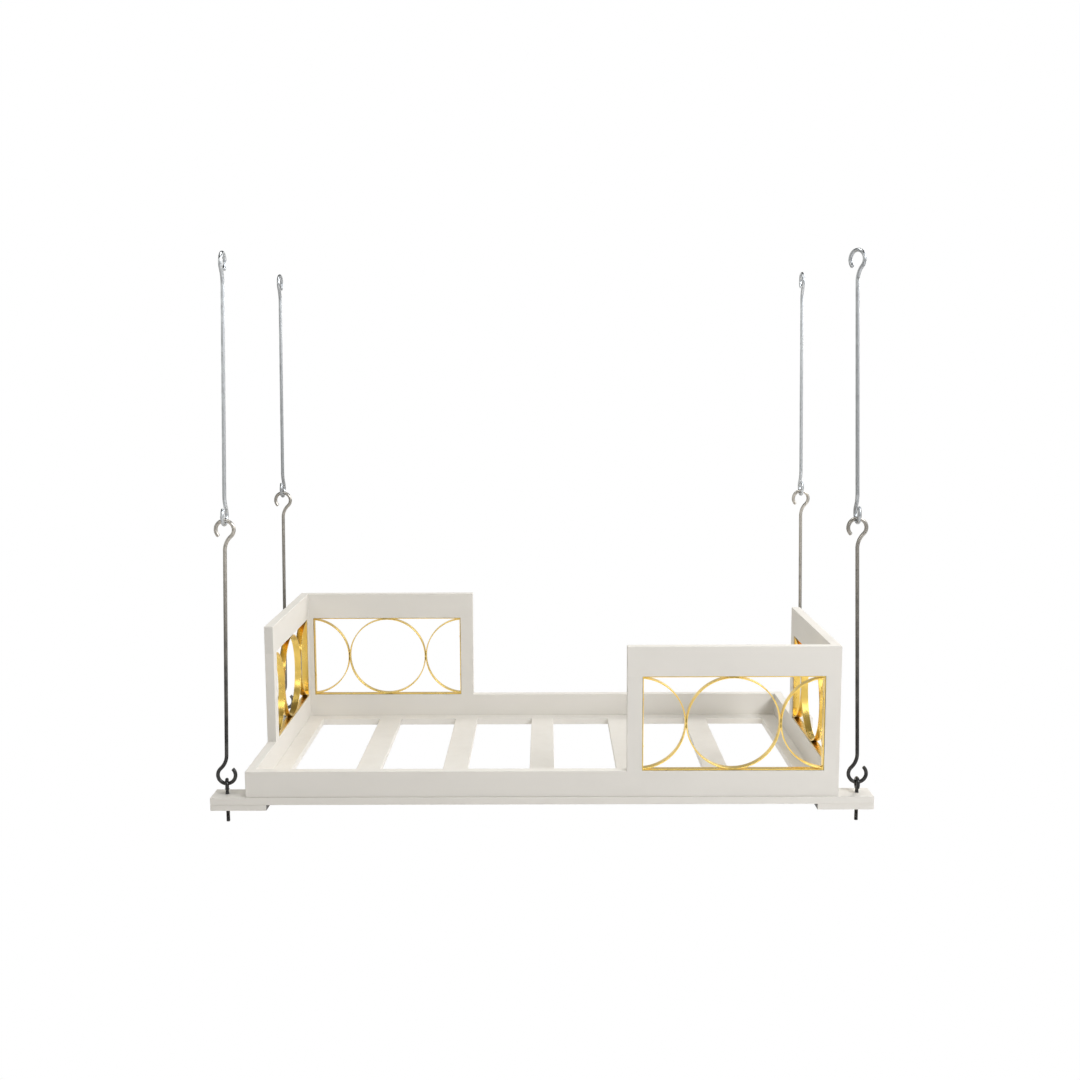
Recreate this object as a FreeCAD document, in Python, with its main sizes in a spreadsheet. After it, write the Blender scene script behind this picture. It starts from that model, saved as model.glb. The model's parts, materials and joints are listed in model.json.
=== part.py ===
import FreeCAD, Part
import os
import re
import Sketcher

# A hanging daybed for a porch: a slatted timber tray with a screen at each of two opposite
# corners, hung at its four outriggers on pairs of hooked steel rods.
# Millimetres. X runs along the bed, -Y is its front, +Z is up. The origin is the centre of the
# middle slat's top face, which is level with the tops of the base rails.

SIZES = {
    # timber base
    "board_length": 2000,
    "frame_depth": 1070,
    "board_thickness": 32,
    "board_height": 89,
    "rail_width": 93,
    "rail_thickness": 25,
    "rail_lip": 6,
    "outrigger_reach": 119,
    "block_length": 190,
    "block_thickness": 20,
    "slat_pitch": 314,
    "slat_width": 89,
    "slat_thickness": 20,
    "slat_tenon_width": 65,
    "rail_tenon_width": 60,
    "tenon_length": 25,
    "tenon_thickness": 10,
    "joint_gap": 0.1,
    # corner screens
    "panel_length": 713,
    "stile_width": 51,
    "end_corner_width": 19,
    "top_rail_height": 101,
    "window_height": 325,
    # grilles
    "grille_gap": 0.2,
    "bar_thickness": 4,
    "bar_width": 25,
    "grille_screw_radius": 2,
    "grille_screw_length": 22,
    "grille_head_radius": 4,
    "grille_head_height": 2,
    # hidden fixings
    "dowel_radius": 4,
    "dowel_length": 50,
    "screw_radius": 2.5,
    "screw_length": 62,
    "screw_head_radius": 5,
    "screw_head_height": 4,
    "side_screw_pitch": 340,
    "end_screw_pitch": 300,
    "corner_dowel_spread": 45,
    # hanging hardware
    "wire_radius": 6.35,
    "link_gap": 0.3,
    "eyebolt_inset": 48,
    "eye_radius": 16.3,
    "eye_height": 32.4,
    "neck_radius": 5.4,
    "eyebolt_tail": 97,
    "eyebolt_hole_gap": 0.4,
    "eye_turn_front_left": 14,
    "counterbore_radius": 18,
    "counterbore_depth": 10,
    "washer_radius": 16,
    "washer_thickness": 2.5,
    "nut_across_flats": 19,
    "nut_height": 11,
    "nut_gap": 0.05,
    "hook_radius": 30,
    "bend_radius": 65,
    "hook_end_angle": 228,
    "lower_rod_span": 841,
    "upper_rod_span": 823,
    "rod_lean_front": 1.6,
    "rod_lean_back": 0.95,
    "top_hook_twist": 35,
}

os.makedirs("parts", exist_ok=True)
doc = FreeCAD.newDocument("hanging_daybed")
sheet = doc.addObject("Spreadsheet::Sheet", "sizes")
for row, (alias, value) in enumerate(SIZES.items(), start=1):
    sheet.set(f"A{row}", alias.replace("_", " "))
    sheet.set(f"B{row}", str(value))
    sheet.setAlias(f"B{row}", alias)
doc.recompute()

nodes = []
blanks = {}
AXES = "xyz"


# ---------------------------------------------------------------- helpers

def sized(formula):
    """The formula with each size in it read from the sheet."""
    return re.sub(r"[a-z_]+", lambda word: f"sizes.{word[0]}" if word[0] in SIZES else word[0], formula)


def bind(thing, **formulas):
    for prop, formula in formulas.items():
        thing.setExpression(prop, sized(formula))


def bind_base(thing, place):
    for axis, formula in zip(AXES, place):
        thing.setExpression(f"Placement.Base.{axis}", sized(formula))


def turned(axis, angle):
    """A rotation formula about X, Y or Z."""
    unit = "; ".join("1" if axis == name else "0" for name in AXES)
    return f"create(<<rotation>>; create(<<vector>>; {unit}); {angle})"


def placed(place, *turns):
    """A placement formula: a point, and turns that act from the last one to the first."""
    spin = " * ".join(turns) if turns else turned("z", "0")
    return f"create(<<placement>>; create(<<vector>>; {'; '.join(place)}); {spin})"


def as_node(thing, name):
    thing.Label = name
    nodes.append(thing)
    return thing


def origin_plane(body, role):
    return next(plane for plane in body.Origin.OriginFeatures if plane.Role == role)


def rectangle(body, name, role, low, size):
    """A sketched rectangle with its low corner and its two sizes bound to the sheet."""
    sketch = body.newObject("Sketcher::SketchObject", name)
    sketch.AttachmentSupport = [(origin_plane(body, role), "")]
    sketch.MapMode = "FlatFace"
    add_rectangle(sketch, low, size)
    return sketch


def add_rectangle(sketch, low, size):
    first = sketch.GeometryCount
    corners = [FreeCAD.Vector(*point) for point in ((0, 0), (9, 0), (9, 9), (0, 9))]
    for corner in range(4):
        sketch.addGeometry(Part.LineSegment(corners[corner], corners[(corner + 1) % 4]), False)
    for corner in range(4):
        joined = ("Coincident", first + corner, 2, first + (corner + 1) % 4, 1)
        sketch.addConstraint(Sketcher.Constraint(*joined))
    for line, lie in enumerate(("Horizontal", "Vertical", "Horizontal", "Vertical")):
        sketch.addConstraint(Sketcher.Constraint(lie, first + line))
    for kind, formula in (("DistanceX", size[0]), ("DistanceY", size[1])):
        line = first if kind == "DistanceX" else first + 1
        sized_by = sketch.addConstraint(Sketcher.Constraint(kind, line, 1, line, 2, 9))
        sketch.setExpression(f"Constraints[{sized_by}]", sized(formula))
    for kind, formula in (("DistanceX", low[0]), ("DistanceY", low[1])):
        if formula == "0":
            on_axis = (first, 1, -2) if kind == "DistanceX" else (first, 1, -1)
            sketch.addConstraint(Sketcher.Constraint("PointOnObject", *on_axis))
        else:
            held_by = sketch.addConstraint(Sketcher.Constraint(kind, -1, 1, first, 1, 1))
            sketch.setExpression(f"Constraints[{held_by}]", sized(formula))


def board(name, centre, size):
    """A planed board, placed by its centre: a rectangle padded to its height."""
    body = doc.addObject("PartDesign::Body", name)
    sketch = rectangle(body, f"{name}_face", "XY_Plane", ("0", "0"), size[:2])
    pad = body.newObject("PartDesign::Pad", f"{name}_pad")
    pad.Profile = sketch
    bind(pad, Length=size[2])
    low = [f"({middle}) - ({span}) / 2" for middle, span in zip(centre, size)]
    bind_base(body, low)
    blanks[name] = low
    return as_node(body, name)


def inside(body, place):
    """A point of the whole bed, in the board's own coordinates."""
    return [f"({point}) - ({low})" for point, low in zip(place, blanks[body.Name])]


def bore(body, axis, start, radius, depth):
    """A round hole from a start point, along the positive axis."""
    hole = body.newObject("PartDesign::SubtractiveCylinder", f"{body.Name}_bore")
    lie = {"x": ((0, 1, 0), 90), "y": ((1, 0, 0), -90), "z": ((0, 0, 1), 0)}[axis]
    spin = FreeCAD.Rotation(FreeCAD.Vector(*lie[0]), lie[1])
    hole.Placement = FreeCAD.Placement(FreeCAD.Vector(), spin)
    bind(hole, Radius=radius, Height=depth)
    bind_base(hole, inside(body, start))


def block_feature(body, kind, centre, size):
    """A tenon (AdditiveBox) or a mortise (SubtractiveBox), placed by its centre."""
    block = body.newObject(f"PartDesign::{kind}", f"{body.Name}_{kind.lower()}")
    bind(block, Length=size[0], Width=size[1], Height=size[2])
    bind_base(block, inside(body, [f"({mid}) - ({span}) / 2" for mid, span in zip(centre, size)]))


def group(name, pieces):
    """Like pieces that are bought and fitted as a set, kept as separate solids."""
    compound = doc.addObject("Part::Compound", name)
    compound.Links = pieces
    return as_node(compound, name)


def cylinder(name, radius, height, place, axis="z"):
    rod = doc.addObject("Part::Cylinder", name)
    bind(rod, Radius=radius, Height=height)
    lie = {"x": turned("y", "90"), "y": turned("x", "0 - 90"), "z": turned("z", "0")}[axis]
    bind(rod, Placement=placed(place, lie))
    return rod


SIDES = (("front", "-1"), ("back", "1"))
ENDS = (("left", "-1"), ("right", "1"))
# Each screen stands on the bed's corner where the named side meets the named end.
CORNERS = (("back", "1", "left", "-1"), ("front", "-1", "right", "1"))

# ---------------------------------------------------------------- shared places

side_board_y = "(frame_depth / 2 - board_thickness / 2)"
end_board_x = "(board_length / 2 - board_thickness / 2)"
side_rail_y = "(frame_depth / 2 + rail_lip - rail_width / 2)"
end_rail_x = "(board_length / 2 - rail_width / 2)"
tray_width = "(frame_depth + 2 * rail_lip - 2 * rail_width)"
rail_length = "(board_length + 2 * outrigger_reach)"
slat_level = "(0 - slat_thickness / 2)"
rail_level = "(0 - rail_thickness / 2)"
board_level = "(board_height / 2)"
window_level = "(board_height + window_height / 2)"
side_window_width = "(panel_length - 2 * stile_width)"
end_window_width = "(panel_length - board_thickness - end_corner_width - stile_width)"
side_window_x = "(board_length / 2 - panel_length / 2)"
end_window_y = "(frame_depth / 2 - (panel_length + board_thickness + end_corner_width - stile_width) / 2)"
top_rail_low = "(board_height + window_height)"
eyebolt_x = "(board_length / 2 + outrigger_reach - eyebolt_inset)"
eyebolt_hole = "(wire_radius + eyebolt_hole_gap)"
block_bottom = "(0 - rail_thickness - block_thickness)"
slat_numbers = (-2, -1, 0, 1, 2)
side_screw_steps = (-2.5, -1.5, -0.5, 0.5, 1.5, 2.5)
end_screw_steps = (-1, 0, 1)


# ---------------------------------------------------------------- base rails, slats, hanger blocks

def mortise(rail, centre_x, y_sign, width, level):
    """A blind slot in a side rail's inner edge, for a tenon of the given width."""
    size = (f"{width} + 2 * joint_gap", "tenon_length + joint_gap", "tenon_thickness + 2 * joint_gap")
    centre_y = f"{y_sign} * ({tray_width} / 2 + ({size[1]}) / 2)"
    block_feature(rail, "SubtractiveBox", (centre_x, centre_y, level), size)


def side_rail(side, y_sign):
    rail = board(f"{side}_base_rail", ("0", f"{y_sign} * {side_rail_y}", rail_level),
                 (rail_length, "rail_width", "rail_thickness"))
    for number in slat_numbers:
        mortise(rail, f"({number}) * slat_pitch", y_sign, "slat_tenon_width", slat_level)
    for end, x_sign in ENDS:
        mortise(rail, f"{x_sign} * {end_rail_x}", y_sign, "rail_tenon_width", rail_level)
        hole_at = (f"{x_sign} * {eyebolt_x}", f"{y_sign} * {side_rail_y}", "0 - rail_thickness")
        bore(rail, "z", hole_at, eyebolt_hole, "rail_thickness")
    for step in side_screw_steps:
        screw_hole(rail, f"({step}) * side_screw_pitch", f"{y_sign} * {side_board_y}")


def cross_member(name, centre_x, width, thickness, tenon_width):
    """A slat or an end rail: it spans the tray and is tenoned into both side rails."""
    level = f"(0 - {thickness} / 2)"
    member = board(name, (centre_x, "0", level), (width, tray_width, thickness))
    for side, y_sign in SIDES:
        centre_y = f"{y_sign} * ({tray_width} / 2 + tenon_length / 2)"
        block_feature(member, "AdditiveBox", (centre_x, centre_y, level),
                      (tenon_width, "tenon_length", "tenon_thickness"))
    return member


def screw_hole(body, x, y):
    """Clearance for a countersunk screw that is driven up from below the base rail."""
    bore(body, "z", (x, y, "0 - rail_thickness"), "screw_radius + joint_gap", "rail_thickness")
    head = "screw_head_height + joint_gap"
    bore(body, "z", (x, y, "0 - rail_thickness"), "screw_head_radius + joint_gap", head)


def pilot_hole(body, x, y):
    depth = "screw_length - rail_thickness + 2 * joint_gap"
    bore(body, "z", (x, y, "0"), "screw_radius + joint_gap", depth)


def hanger_block(side, y_sign, end, x_sign):
    centre_x = f"{x_sign} * ({rail_length} / 2 - block_length / 2)"
    place = (centre_x, f"{y_sign} * {side_rail_y}", "0 - rail_thickness - block_thickness / 2")
    block = board(f"{side}_{end}_hanger_block", place, ("block_length", "rail_width", "block_thickness"))
    bolt_at = (f"{x_sign} * {eyebolt_x}", f"{y_sign} * {side_rail_y}", block_bottom)
    bore(block, "z", bolt_at, eyebolt_hole, "block_thickness")
    bore(block, "z", bolt_at, "counterbore_radius", "counterbore_depth")


for side, y_sign in SIDES:
    side_rail(side, y_sign)
    for end, x_sign in ENDS:
        hanger_block(side, y_sign, end, x_sign)
for end, x_sign in ENDS:
    end_rail = cross_member(f"{end}_base_rail", f"{x_sign} * {end_rail_x}", "rail_width",
                            "rail_thickness", "rail_tenon_width")
    for step in end_screw_steps:
        screw_hole(end_rail, f"{x_sign} * {end_board_x}", f"({step}) * end_screw_pitch")
for number in slat_numbers:
    cross_member(f"slat_{number + 3}", f"({number}) * slat_pitch", "slat_width", "slat_thickness",
                 "slat_tenon_width")

# ---------------------------------------------------------------- dowels and the boards they join

dowels = []
half_dowel = "(dowel_length / 2 + joint_gap)"


def dowel(axis, middle):
    """A dowel, placed by its middle, which lies on the joint face."""
    start = list(middle)
    along = AXES.index(axis)
    start[along] = f"({middle[along]}) - dowel_length / 2"
    dowels.append(cylinder("dowel", "dowel_radius", "dowel_length", start, axis))


def dowel_hole(body, axis, middle, direction, depth=half_dowel):
    """Half of a dowel's hole: it runs from the joint face in the given direction."""
    start = list(middle)
    along = AXES.index(axis)
    if direction == "-1":
        start[along] = f"({middle[along]}) - {depth}"
    bore(body, axis, start, "dowel_radius + joint_gap", depth)


def opposite(sign):
    return "1" if sign == "-1" else "-1"


boards = {}
for side, y_sign in SIDES:
    boards[side] = board(f"{side}_side_board", ("0", f"{y_sign} * {side_board_y}", board_level),
                         ("board_length", "board_thickness", "board_height"))
    for step in side_screw_steps:
        pilot_hole(boards[side], f"({step}) * side_screw_pitch", f"{y_sign} * {side_board_y}")
for end, x_sign in ENDS:
    boards[end] = board(f"{end}_end_board", (f"{x_sign} * {end_board_x}", "0", board_level),
                        ("board_thickness", "frame_depth - 2 * board_thickness", "board_height"))
    for step in end_screw_steps:
        pilot_hole(boards[end], f"{x_sign} * {end_board_x}", f"({step}) * end_screw_pitch")

# The dowels of a box corner stop short of the side board's outer face, so they sit mostly in the
# end board: their middle is moved inwards from the joint by this much.
corner_shift = "(dowel_length / 2 - board_thickness * 0.6)"
for side, y_sign in SIDES:
    for end, x_sign in ENDS:
        for step in ("-0.5", "0.5"):
            joint_y = f"{y_sign} * (frame_depth / 2 - board_thickness)"
            middle = (f"{x_sign} * {end_board_x}", f"{joint_y} - ({y_sign}) * {corner_shift}",
                      f"board_height / 2 + ({step}) * corner_dowel_spread")
            dowel("y", middle)
            at_joint = (middle[0], joint_y, middle[2])
            dowel_hole(boards[side], "y", at_joint, y_sign, "(board_thickness * 0.6 + joint_gap)")
            dowel_hole(boards[end], "y", at_joint, opposite(y_sign),
                       "(dowel_length - board_thickness * 0.6 + joint_gap)")


# ---------------------------------------------------------------- corner screens

def side_screen(side, y_sign, x_sign):
    """The half of a screen that stands along the bed's side, out to the corner."""
    y = f"{y_sign} * {side_board_y}"
    top_rail = board(f"{side}_panel_top_rail",
                     (f"{x_sign} * (board_length / 2 - panel_length / 2)", y,
                      f"{top_rail_low} + top_rail_height / 2"),
                     ("panel_length", "board_thickness", "top_rail_height"))
    stiles = (("corner", f"{x_sign} * (board_length / 2 - stile_width / 2)"),
              ("free", f"{x_sign} * (board_length / 2 - panel_length + stile_width / 2)"))
    for place, x in stiles:
        stile = board(f"{side}_panel_{place}_stile", (x, y, window_level),
                      ("stile_width", "board_thickness", "window_height"))
        stand_on_dowels(stile, (x, y), boards[side], top_rail)
    return top_rail


def end_screen(end, x_sign, y_sign):
    """The half of a screen that stands along the bed's end and butts the side screen."""
    x = f"{x_sign} * {end_board_x}"
    top_rail = board(f"{end}_panel_top_rail",
                     (x, f"{y_sign} * (frame_depth / 2 - (panel_length + board_thickness) / 2)",
                      f"{top_rail_low} + top_rail_height / 2"),
                     ("board_thickness", "panel_length - board_thickness", "top_rail_height"))
    stiles = (("corner", "end_corner_width",
               f"{y_sign} * (frame_depth / 2 - board_thickness - end_corner_width / 2)"),
              ("free", "stile_width", f"{y_sign} * (frame_depth / 2 - panel_length + stile_width / 2)"))
    for place, width, y in stiles:
        stile = board(f"{end}_panel_{place}_stile", (x, y, window_level),
                      ("board_thickness", width, "window_height"))
        stand_on_dowels(stile, (x, y), boards[end], top_rail)
    return top_rail


def stand_on_dowels(stile, place, below, above):
    """A stile is dowelled into the board it stands on and into the rail that it carries."""
    foot = (*place, "board_height")
    head = (*place, top_rail_low)
    for middle, lower, upper in ((foot, below, stile), (head, stile, above)):
        dowel("z", middle)
        dowel_hole(lower, "z", middle, "-1")
        dowel_hole(upper, "z", middle, "1")


def join_screens(side_top_rail, end_top_rail, x_sign, y_sign):
    """Two dowels join the top rails where they meet at the corner."""
    joint_y = f"{y_sign} * (frame_depth / 2 - board_thickness)"
    for step in ("-0.5", "0.5"):
        z = f"{top_rail_low} + top_rail_height / 2 + ({step}) * corner_dowel_spread"
        x = f"{x_sign} * {end_board_x}"
        dowel("y", (x, f"{joint_y} - ({y_sign}) * {corner_shift}", z))
        dowel_hole(side_top_rail, "y", (x, joint_y, z), y_sign, "(board_thickness * 0.6 + joint_gap)")
        dowel_hole(end_top_rail, "y", (x, joint_y, z), opposite(y_sign),
                   "(dowel_length - board_thickness * 0.6 + joint_gap)")


for side, y_sign, end, x_sign in CORNERS:
    join_screens(side_screen(side, y_sign, x_sign), end_screen(end, x_sign, y_sign), x_sign, y_sign)
group("dowels", dowels)

# ---------------------------------------------------------------- grilles

ring_radius = "(window_height / 2 - grille_gap - bar_thickness)"
screw_levels = ("-0.25", "0.25")


def half_opening(window_width):
    """Half of the clear width between a grille's side bars."""
    return f"({window_width} / 2 - grille_gap - bar_thickness)"


def grille_frame(name, window_width, placement, centre):
    """A rectangle of flat bar, welded at its corners and drilled for its fixing screws."""
    body = doc.addObject("PartDesign::Body", name)
    width = f"{window_width} - 2 * grille_gap"
    height = "window_height - 2 * grille_gap"
    sketch = rectangle(body, f"{name}_outline", "XZ_Plane",
                       (f"0 - ({width}) / 2", f"0 - ({height}) / 2"), (width, height))
    add_rectangle(sketch, (f"bar_thickness - ({width}) / 2", f"bar_thickness - ({height}) / 2"),
                  (f"{width} - 2 * bar_thickness", f"{height} - 2 * bar_thickness"))
    pad = body.newObject("PartDesign::Pad", f"{name}_pad")
    pad.Profile = sketch
    pad.Midplane = True
    bind(pad, Length="bar_width")
    blanks[name] = ("0", "0", "0")
    for step in screw_levels:
        bore(body, "x", (f"0 - {window_width} / 2", "0", f"({step}) * window_height"),
             "grille_screw_radius + joint_gap", window_width)
    body.Placement = placement
    bind_base(body, centre)
    return as_node(body, name)


def grille_ring(name, placement, centre):
    """A full ring of flat bar, welded to the top and bottom bars where it touches them."""
    body = doc.addObject("PartDesign::Body", name)
    sketch = body.newObject("Sketcher::SketchObject", f"{name}_outline")
    sketch.AttachmentSupport = [(origin_plane(body, "XZ_Plane"), "")]
    sketch.MapMode = "FlatFace"
    for radius in (ring_radius, f"{ring_radius} - bar_thickness"):
        circle = sketch.addGeometry(Part.Circle(FreeCAD.Vector(), FreeCAD.Vector(0, 0, 1), 9), False)
        sketch.addConstraint(Sketcher.Constraint("Coincident", circle, 3, -1, 1))
        sized_by = sketch.addConstraint(Sketcher.Constraint("Radius", circle, 9))
        sketch.setExpression(f"Constraints[{sized_by}]", sized(radius))
    pad = body.newObject("PartDesign::Pad", f"{name}_pad")
    pad.Profile = sketch
    pad.Midplane = True
    bind(pad, Length="bar_width")
    body.Placement = placement
    bind_base(body, centre)
    return as_node(body, name)


def half_ring(name, window_width, sign):
    """A bent bar whose ends run into a side bar, and which touches the full ring midway."""
    reach_x = half_opening(window_width)
    centre_x = f"({sign}) * 2 * {ring_radius}"
    disc = cylinder(f"{name}_outer", ring_radius, "bar_width", (centre_x, "0 - bar_width / 2", "0"), "y")
    hollow = cylinder(f"{name}_inner", f"{ring_radius} - bar_thickness", "bar_width",
                      (centre_x, "0 - bar_width / 2", "0"), "y")
    hoop = doc.addObject("Part::Cut", f"{name}_hoop")
    hoop.Base = disc
    hoop.Tool = hollow
    reach = doc.addObject("Part::Box", f"{name}_reach")
    bind(reach, Length=reach_x, Width="bar_width", Height=f"2 * {ring_radius}")
    low_x = "0" if sign == "1" else f"0 - {reach_x}"
    bind(reach, Placement=placed((low_x, "0 - bar_width / 2", f"0 - {ring_radius}")))
    kept = doc.addObject("Part::Common", name)
    kept.Base = hoop
    kept.Tool = reach
    return kept


def grille_fixing(name, x, inward, level):
    """A pan-head screw through a side bar into the stile: its axis runs along X."""
    length = "grille_screw_length"
    shank_x = f"{x} - {length} + bar_thickness" if inward == "-1" else f"{x} - bar_thickness"
    head_x = x if inward == "-1" else f"{x} - bar_thickness - grille_head_height"
    shank = cylinder(f"{name}_shank", "grille_screw_radius", length, (shank_x, "0", level), "x")
    head = cylinder(f"{name}_head", "grille_head_radius", "grille_head_height", (head_x, "0", level), "x")
    screw = doc.addObject("Part::Fuse", name)
    screw.Base = shank
    screw.Tool = head
    return screw


def grille(panel, window_width, placement, centre):
    grille_frame(f"{panel}_grille_frame", window_width, placement, centre)
    grille_ring(f"{panel}_grille_ring", placement, centre)
    halves = [half_ring(f"{panel}_half_ring", window_width, sign) for sign in ("-1", "1")]
    pair = group(f"{panel}_grille_half_rings", halves)
    pair.Placement = placement
    bind_base(pair, centre)
    fixings = []
    for step in screw_levels:
        level = f"({step}) * window_height"
        left_x = f"0 - {half_opening(window_width)}"
        right_x = f"{half_opening(window_width)} + bar_thickness"
        fixings.append(grille_fixing(f"{panel}_left_screw", left_x, "-1", level))
        fixings.append(grille_fixing(f"{panel}_right_screw", right_x, "1", level))
    screws = doc.addObject("Part::Compound", f"{panel}_screws")
    screws.Links = fixings
    screws.Placement = placement
    bind_base(screws, centre)
    return screws


def stile_screw_holes(stile, axis, centre, half_span):
    """Pilot holes in a stile's window edge for the grille's screws."""
    depth = "(grille_screw_length - bar_thickness)"
    for step in screw_levels:
        start = list(centre)
        along = AXES.index(axis)
        start[along] = f"{centre[along]} + {half_span}"
        start[2] = f"{window_level} + ({step}) * window_height"
        bore(stile, axis, start, "grille_screw_radius + joint_gap", depth)


flat = FreeCAD.Placement()
quarter_turn = FreeCAD.Placement(FreeCAD.Vector(), FreeCAD.Rotation(FreeCAD.Vector(0, 0, 1), 90))
grille_screw_sets = []
for side, y_sign, end, x_sign in CORNERS:
    side_centre = (f"{x_sign} * {side_window_x}", f"{y_sign} * {side_board_y}", window_level)
    end_centre = (f"{x_sign} * {end_board_x}", f"{y_sign} * {end_window_y}", window_level)
    grille_screw_sets.append(grille(side, side_window_width, flat, side_centre))
    grille_screw_sets.append(grille(end, end_window_width, quarter_turn, end_centre))
    for panel, axis, centre, sign, window_width in (
        (side, "x", side_centre, x_sign, side_window_width),
        (end, "y", end_centre, y_sign, end_window_width),
    ):
        depth = "(grille_screw_length - bar_thickness)"
        for place, outward in (("corner", sign), ("free", opposite(sign))):
            stile = doc.getObject(f"{panel}_panel_{place}_stile")
            reach = f"{window_width} / 2" if outward == "1" else f"(0 - {window_width} / 2 - {depth})"
            stile_screw_holes(stile, axis, centre, reach)
group("grille_screws", grille_screw_sets)


# ---------------------------------------------------------------- screws that hold the base together

def frame_screw(x, y):
    """A countersunk screw driven up through a base rail into the board above it."""
    foot = (x, y, "0 - rail_thickness")
    shank = cylinder("frame_screw_shank", "screw_radius", "screw_length", foot)
    head = doc.addObject("Part::Cone", "frame_screw_head")
    bind(head, Radius1="screw_head_radius", Radius2="screw_radius", Height="screw_head_height",
         Placement=placed(foot))
    screw = doc.addObject("Part::Fuse", "frame_screw")
    screw.Base = shank
    screw.Tool = head
    return screw


side_screws = [frame_screw(f"({step}) * side_screw_pitch", f"{y_sign} * {side_board_y}")
               for side, y_sign in SIDES for step in side_screw_steps]
end_screws = [frame_screw(f"{x_sign} * {end_board_x}", f"({step}) * end_screw_pitch")
              for end, x_sign in ENDS for step in end_screw_steps]
group("frame_screws", side_screws + end_screws)

# ---------------------------------------------------------------- eyebolts, washers and nuts

link_drop = "(2 * wire_radius + link_gap)"
washers = []
nuts = []


def eyebolt(side, y_sign, end, x_sign):
    """A closed eye on a threaded shank that drops through the outrigger."""
    name = f"{side}_{end}_eyebolt"
    turn = "eye_turn_front_left" if (side, end) == ("front", "left") else "0"
    eye = doc.addObject("Part::Torus", f"{name}_eye")
    bind(eye, Radius1="eye_radius", Radius2="wire_radius",
         Placement=placed(("0", "0", "eye_height"), turned("z", turn), turned("y", "90")))
    shank = cylinder(f"{name}_shank", "wire_radius", "eyebolt_tail", ("0", "0", "0 - eyebolt_tail"))
    neck = doc.addObject("Part::Cone", f"{name}_neck")
    bind(neck, Radius1="wire_radius", Radius2="neck_radius", Height="eye_height - eye_radius")
    bolt = doc.addObject("Part::MultiFuse", name)
    bolt.Shapes = [eye, neck, shank]
    bind(bolt, Placement=placed((f"{x_sign} * {eyebolt_x}", f"{y_sign} * {side_rail_y}", "0")))
    as_node(bolt, name)


def ring_of(name, outer, height, place):
    bore_radius = "wire_radius + nut_gap"
    hole = cylinder(f"{name}_bore", bore_radius, height, place)
    part = doc.addObject("Part::Cut", name)
    part.Base = outer
    part.Tool = hole
    return part


for side, y_sign in SIDES:
    for end, x_sign in ENDS:
        eyebolt(side, y_sign, end, x_sign)
        x = f"{x_sign} * {eyebolt_x}"
        y = f"{y_sign} * {side_rail_y}"
        washer_at = (x, y, f"{block_bottom} + counterbore_depth - washer_thickness")
        disc = cylinder("washer_disc", "washer_radius", "washer_thickness", washer_at)
        washers.append(ring_of("washer", disc, "washer_thickness", washer_at))
        nut_at = (x, y, f"{washer_at[2]} - nut_height")
        prism = doc.addObject("Part::Prism", "nut_blank")
        prism.Polygon = 6
        bind(prism, Circumradius="nut_across_flats / 2 / cos(30 deg)", Height="nut_height",
             Placement=placed(nut_at))
        nuts.append(ring_of("nut", prism, "nut_height", nut_at))
group("eyebolt_washers", washers)
group("eyebolt_nuts", nuts)

# ---------------------------------------------------------------- hooked hanging rods

# Between the straight rod and the ring of a hook, the wire swings out on a reverse bend. The two
# arcs are tangent, so the bend's angle and its distance from the ring's centre follow from radii.
bend_angle = "acos(bend_radius / (bend_radius + hook_radius))"
bend_drop = "sqrt((bend_radius + hook_radius) ^ 2 - bend_radius ^ 2)"


def arc_of_wire(name, radius, start, sweep, centre_x, level, turn):
    """A bent length of wire in an upright plane that is turned about the rod's axis."""
    arc = doc.addObject("Part::Torus", name)
    upright = placed(("0", "0", level), turned("z", turn))
    in_plane = placed((centre_x, "0", "0"), turned("x", "90"), turned("z", start))
    bind(arc, Radius1=radius, Radius2="wire_radius", Angle3=sweep, Placement=f"{upright} * {in_plane}")
    return arc


def hooked_rod(name, span, low_turn, high_turn, place, lean):
    """A rod with a hook at each end, placed by the centre of its lower hook."""
    ring_sweep = f"hook_end_angle * 1 deg + {bend_angle}"
    wire = [
        cylinder(f"{name}_shank", "wire_radius", f"{span} - 2 * {bend_drop}", ("0", "0", bend_drop)),
        arc_of_wire(f"{name}_top_ring", "hook_radius", f"-{bend_angle}", ring_sweep, "0", span,
                    high_turn),
        arc_of_wire(f"{name}_top_bend", "bend_radius", f"180 deg - {bend_angle}", bend_angle,
                    "bend_radius", f"{span} - {bend_drop}", high_turn),
        arc_of_wire(f"{name}_low_ring", "hook_radius", f"180 deg - {bend_angle}", ring_sweep, "0", "0",
                    low_turn),
        arc_of_wire(f"{name}_low_bend", "bend_radius", f"-{bend_angle}", bend_angle,
                    "0 - bend_radius", bend_drop, low_turn),
    ]
    rod = doc.addObject("Part::MultiFuse", name)
    rod.Shapes = wire
    bind(rod, Placement=placed(place, turned("y", lean)))
    return as_node(rod, name)


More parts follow.
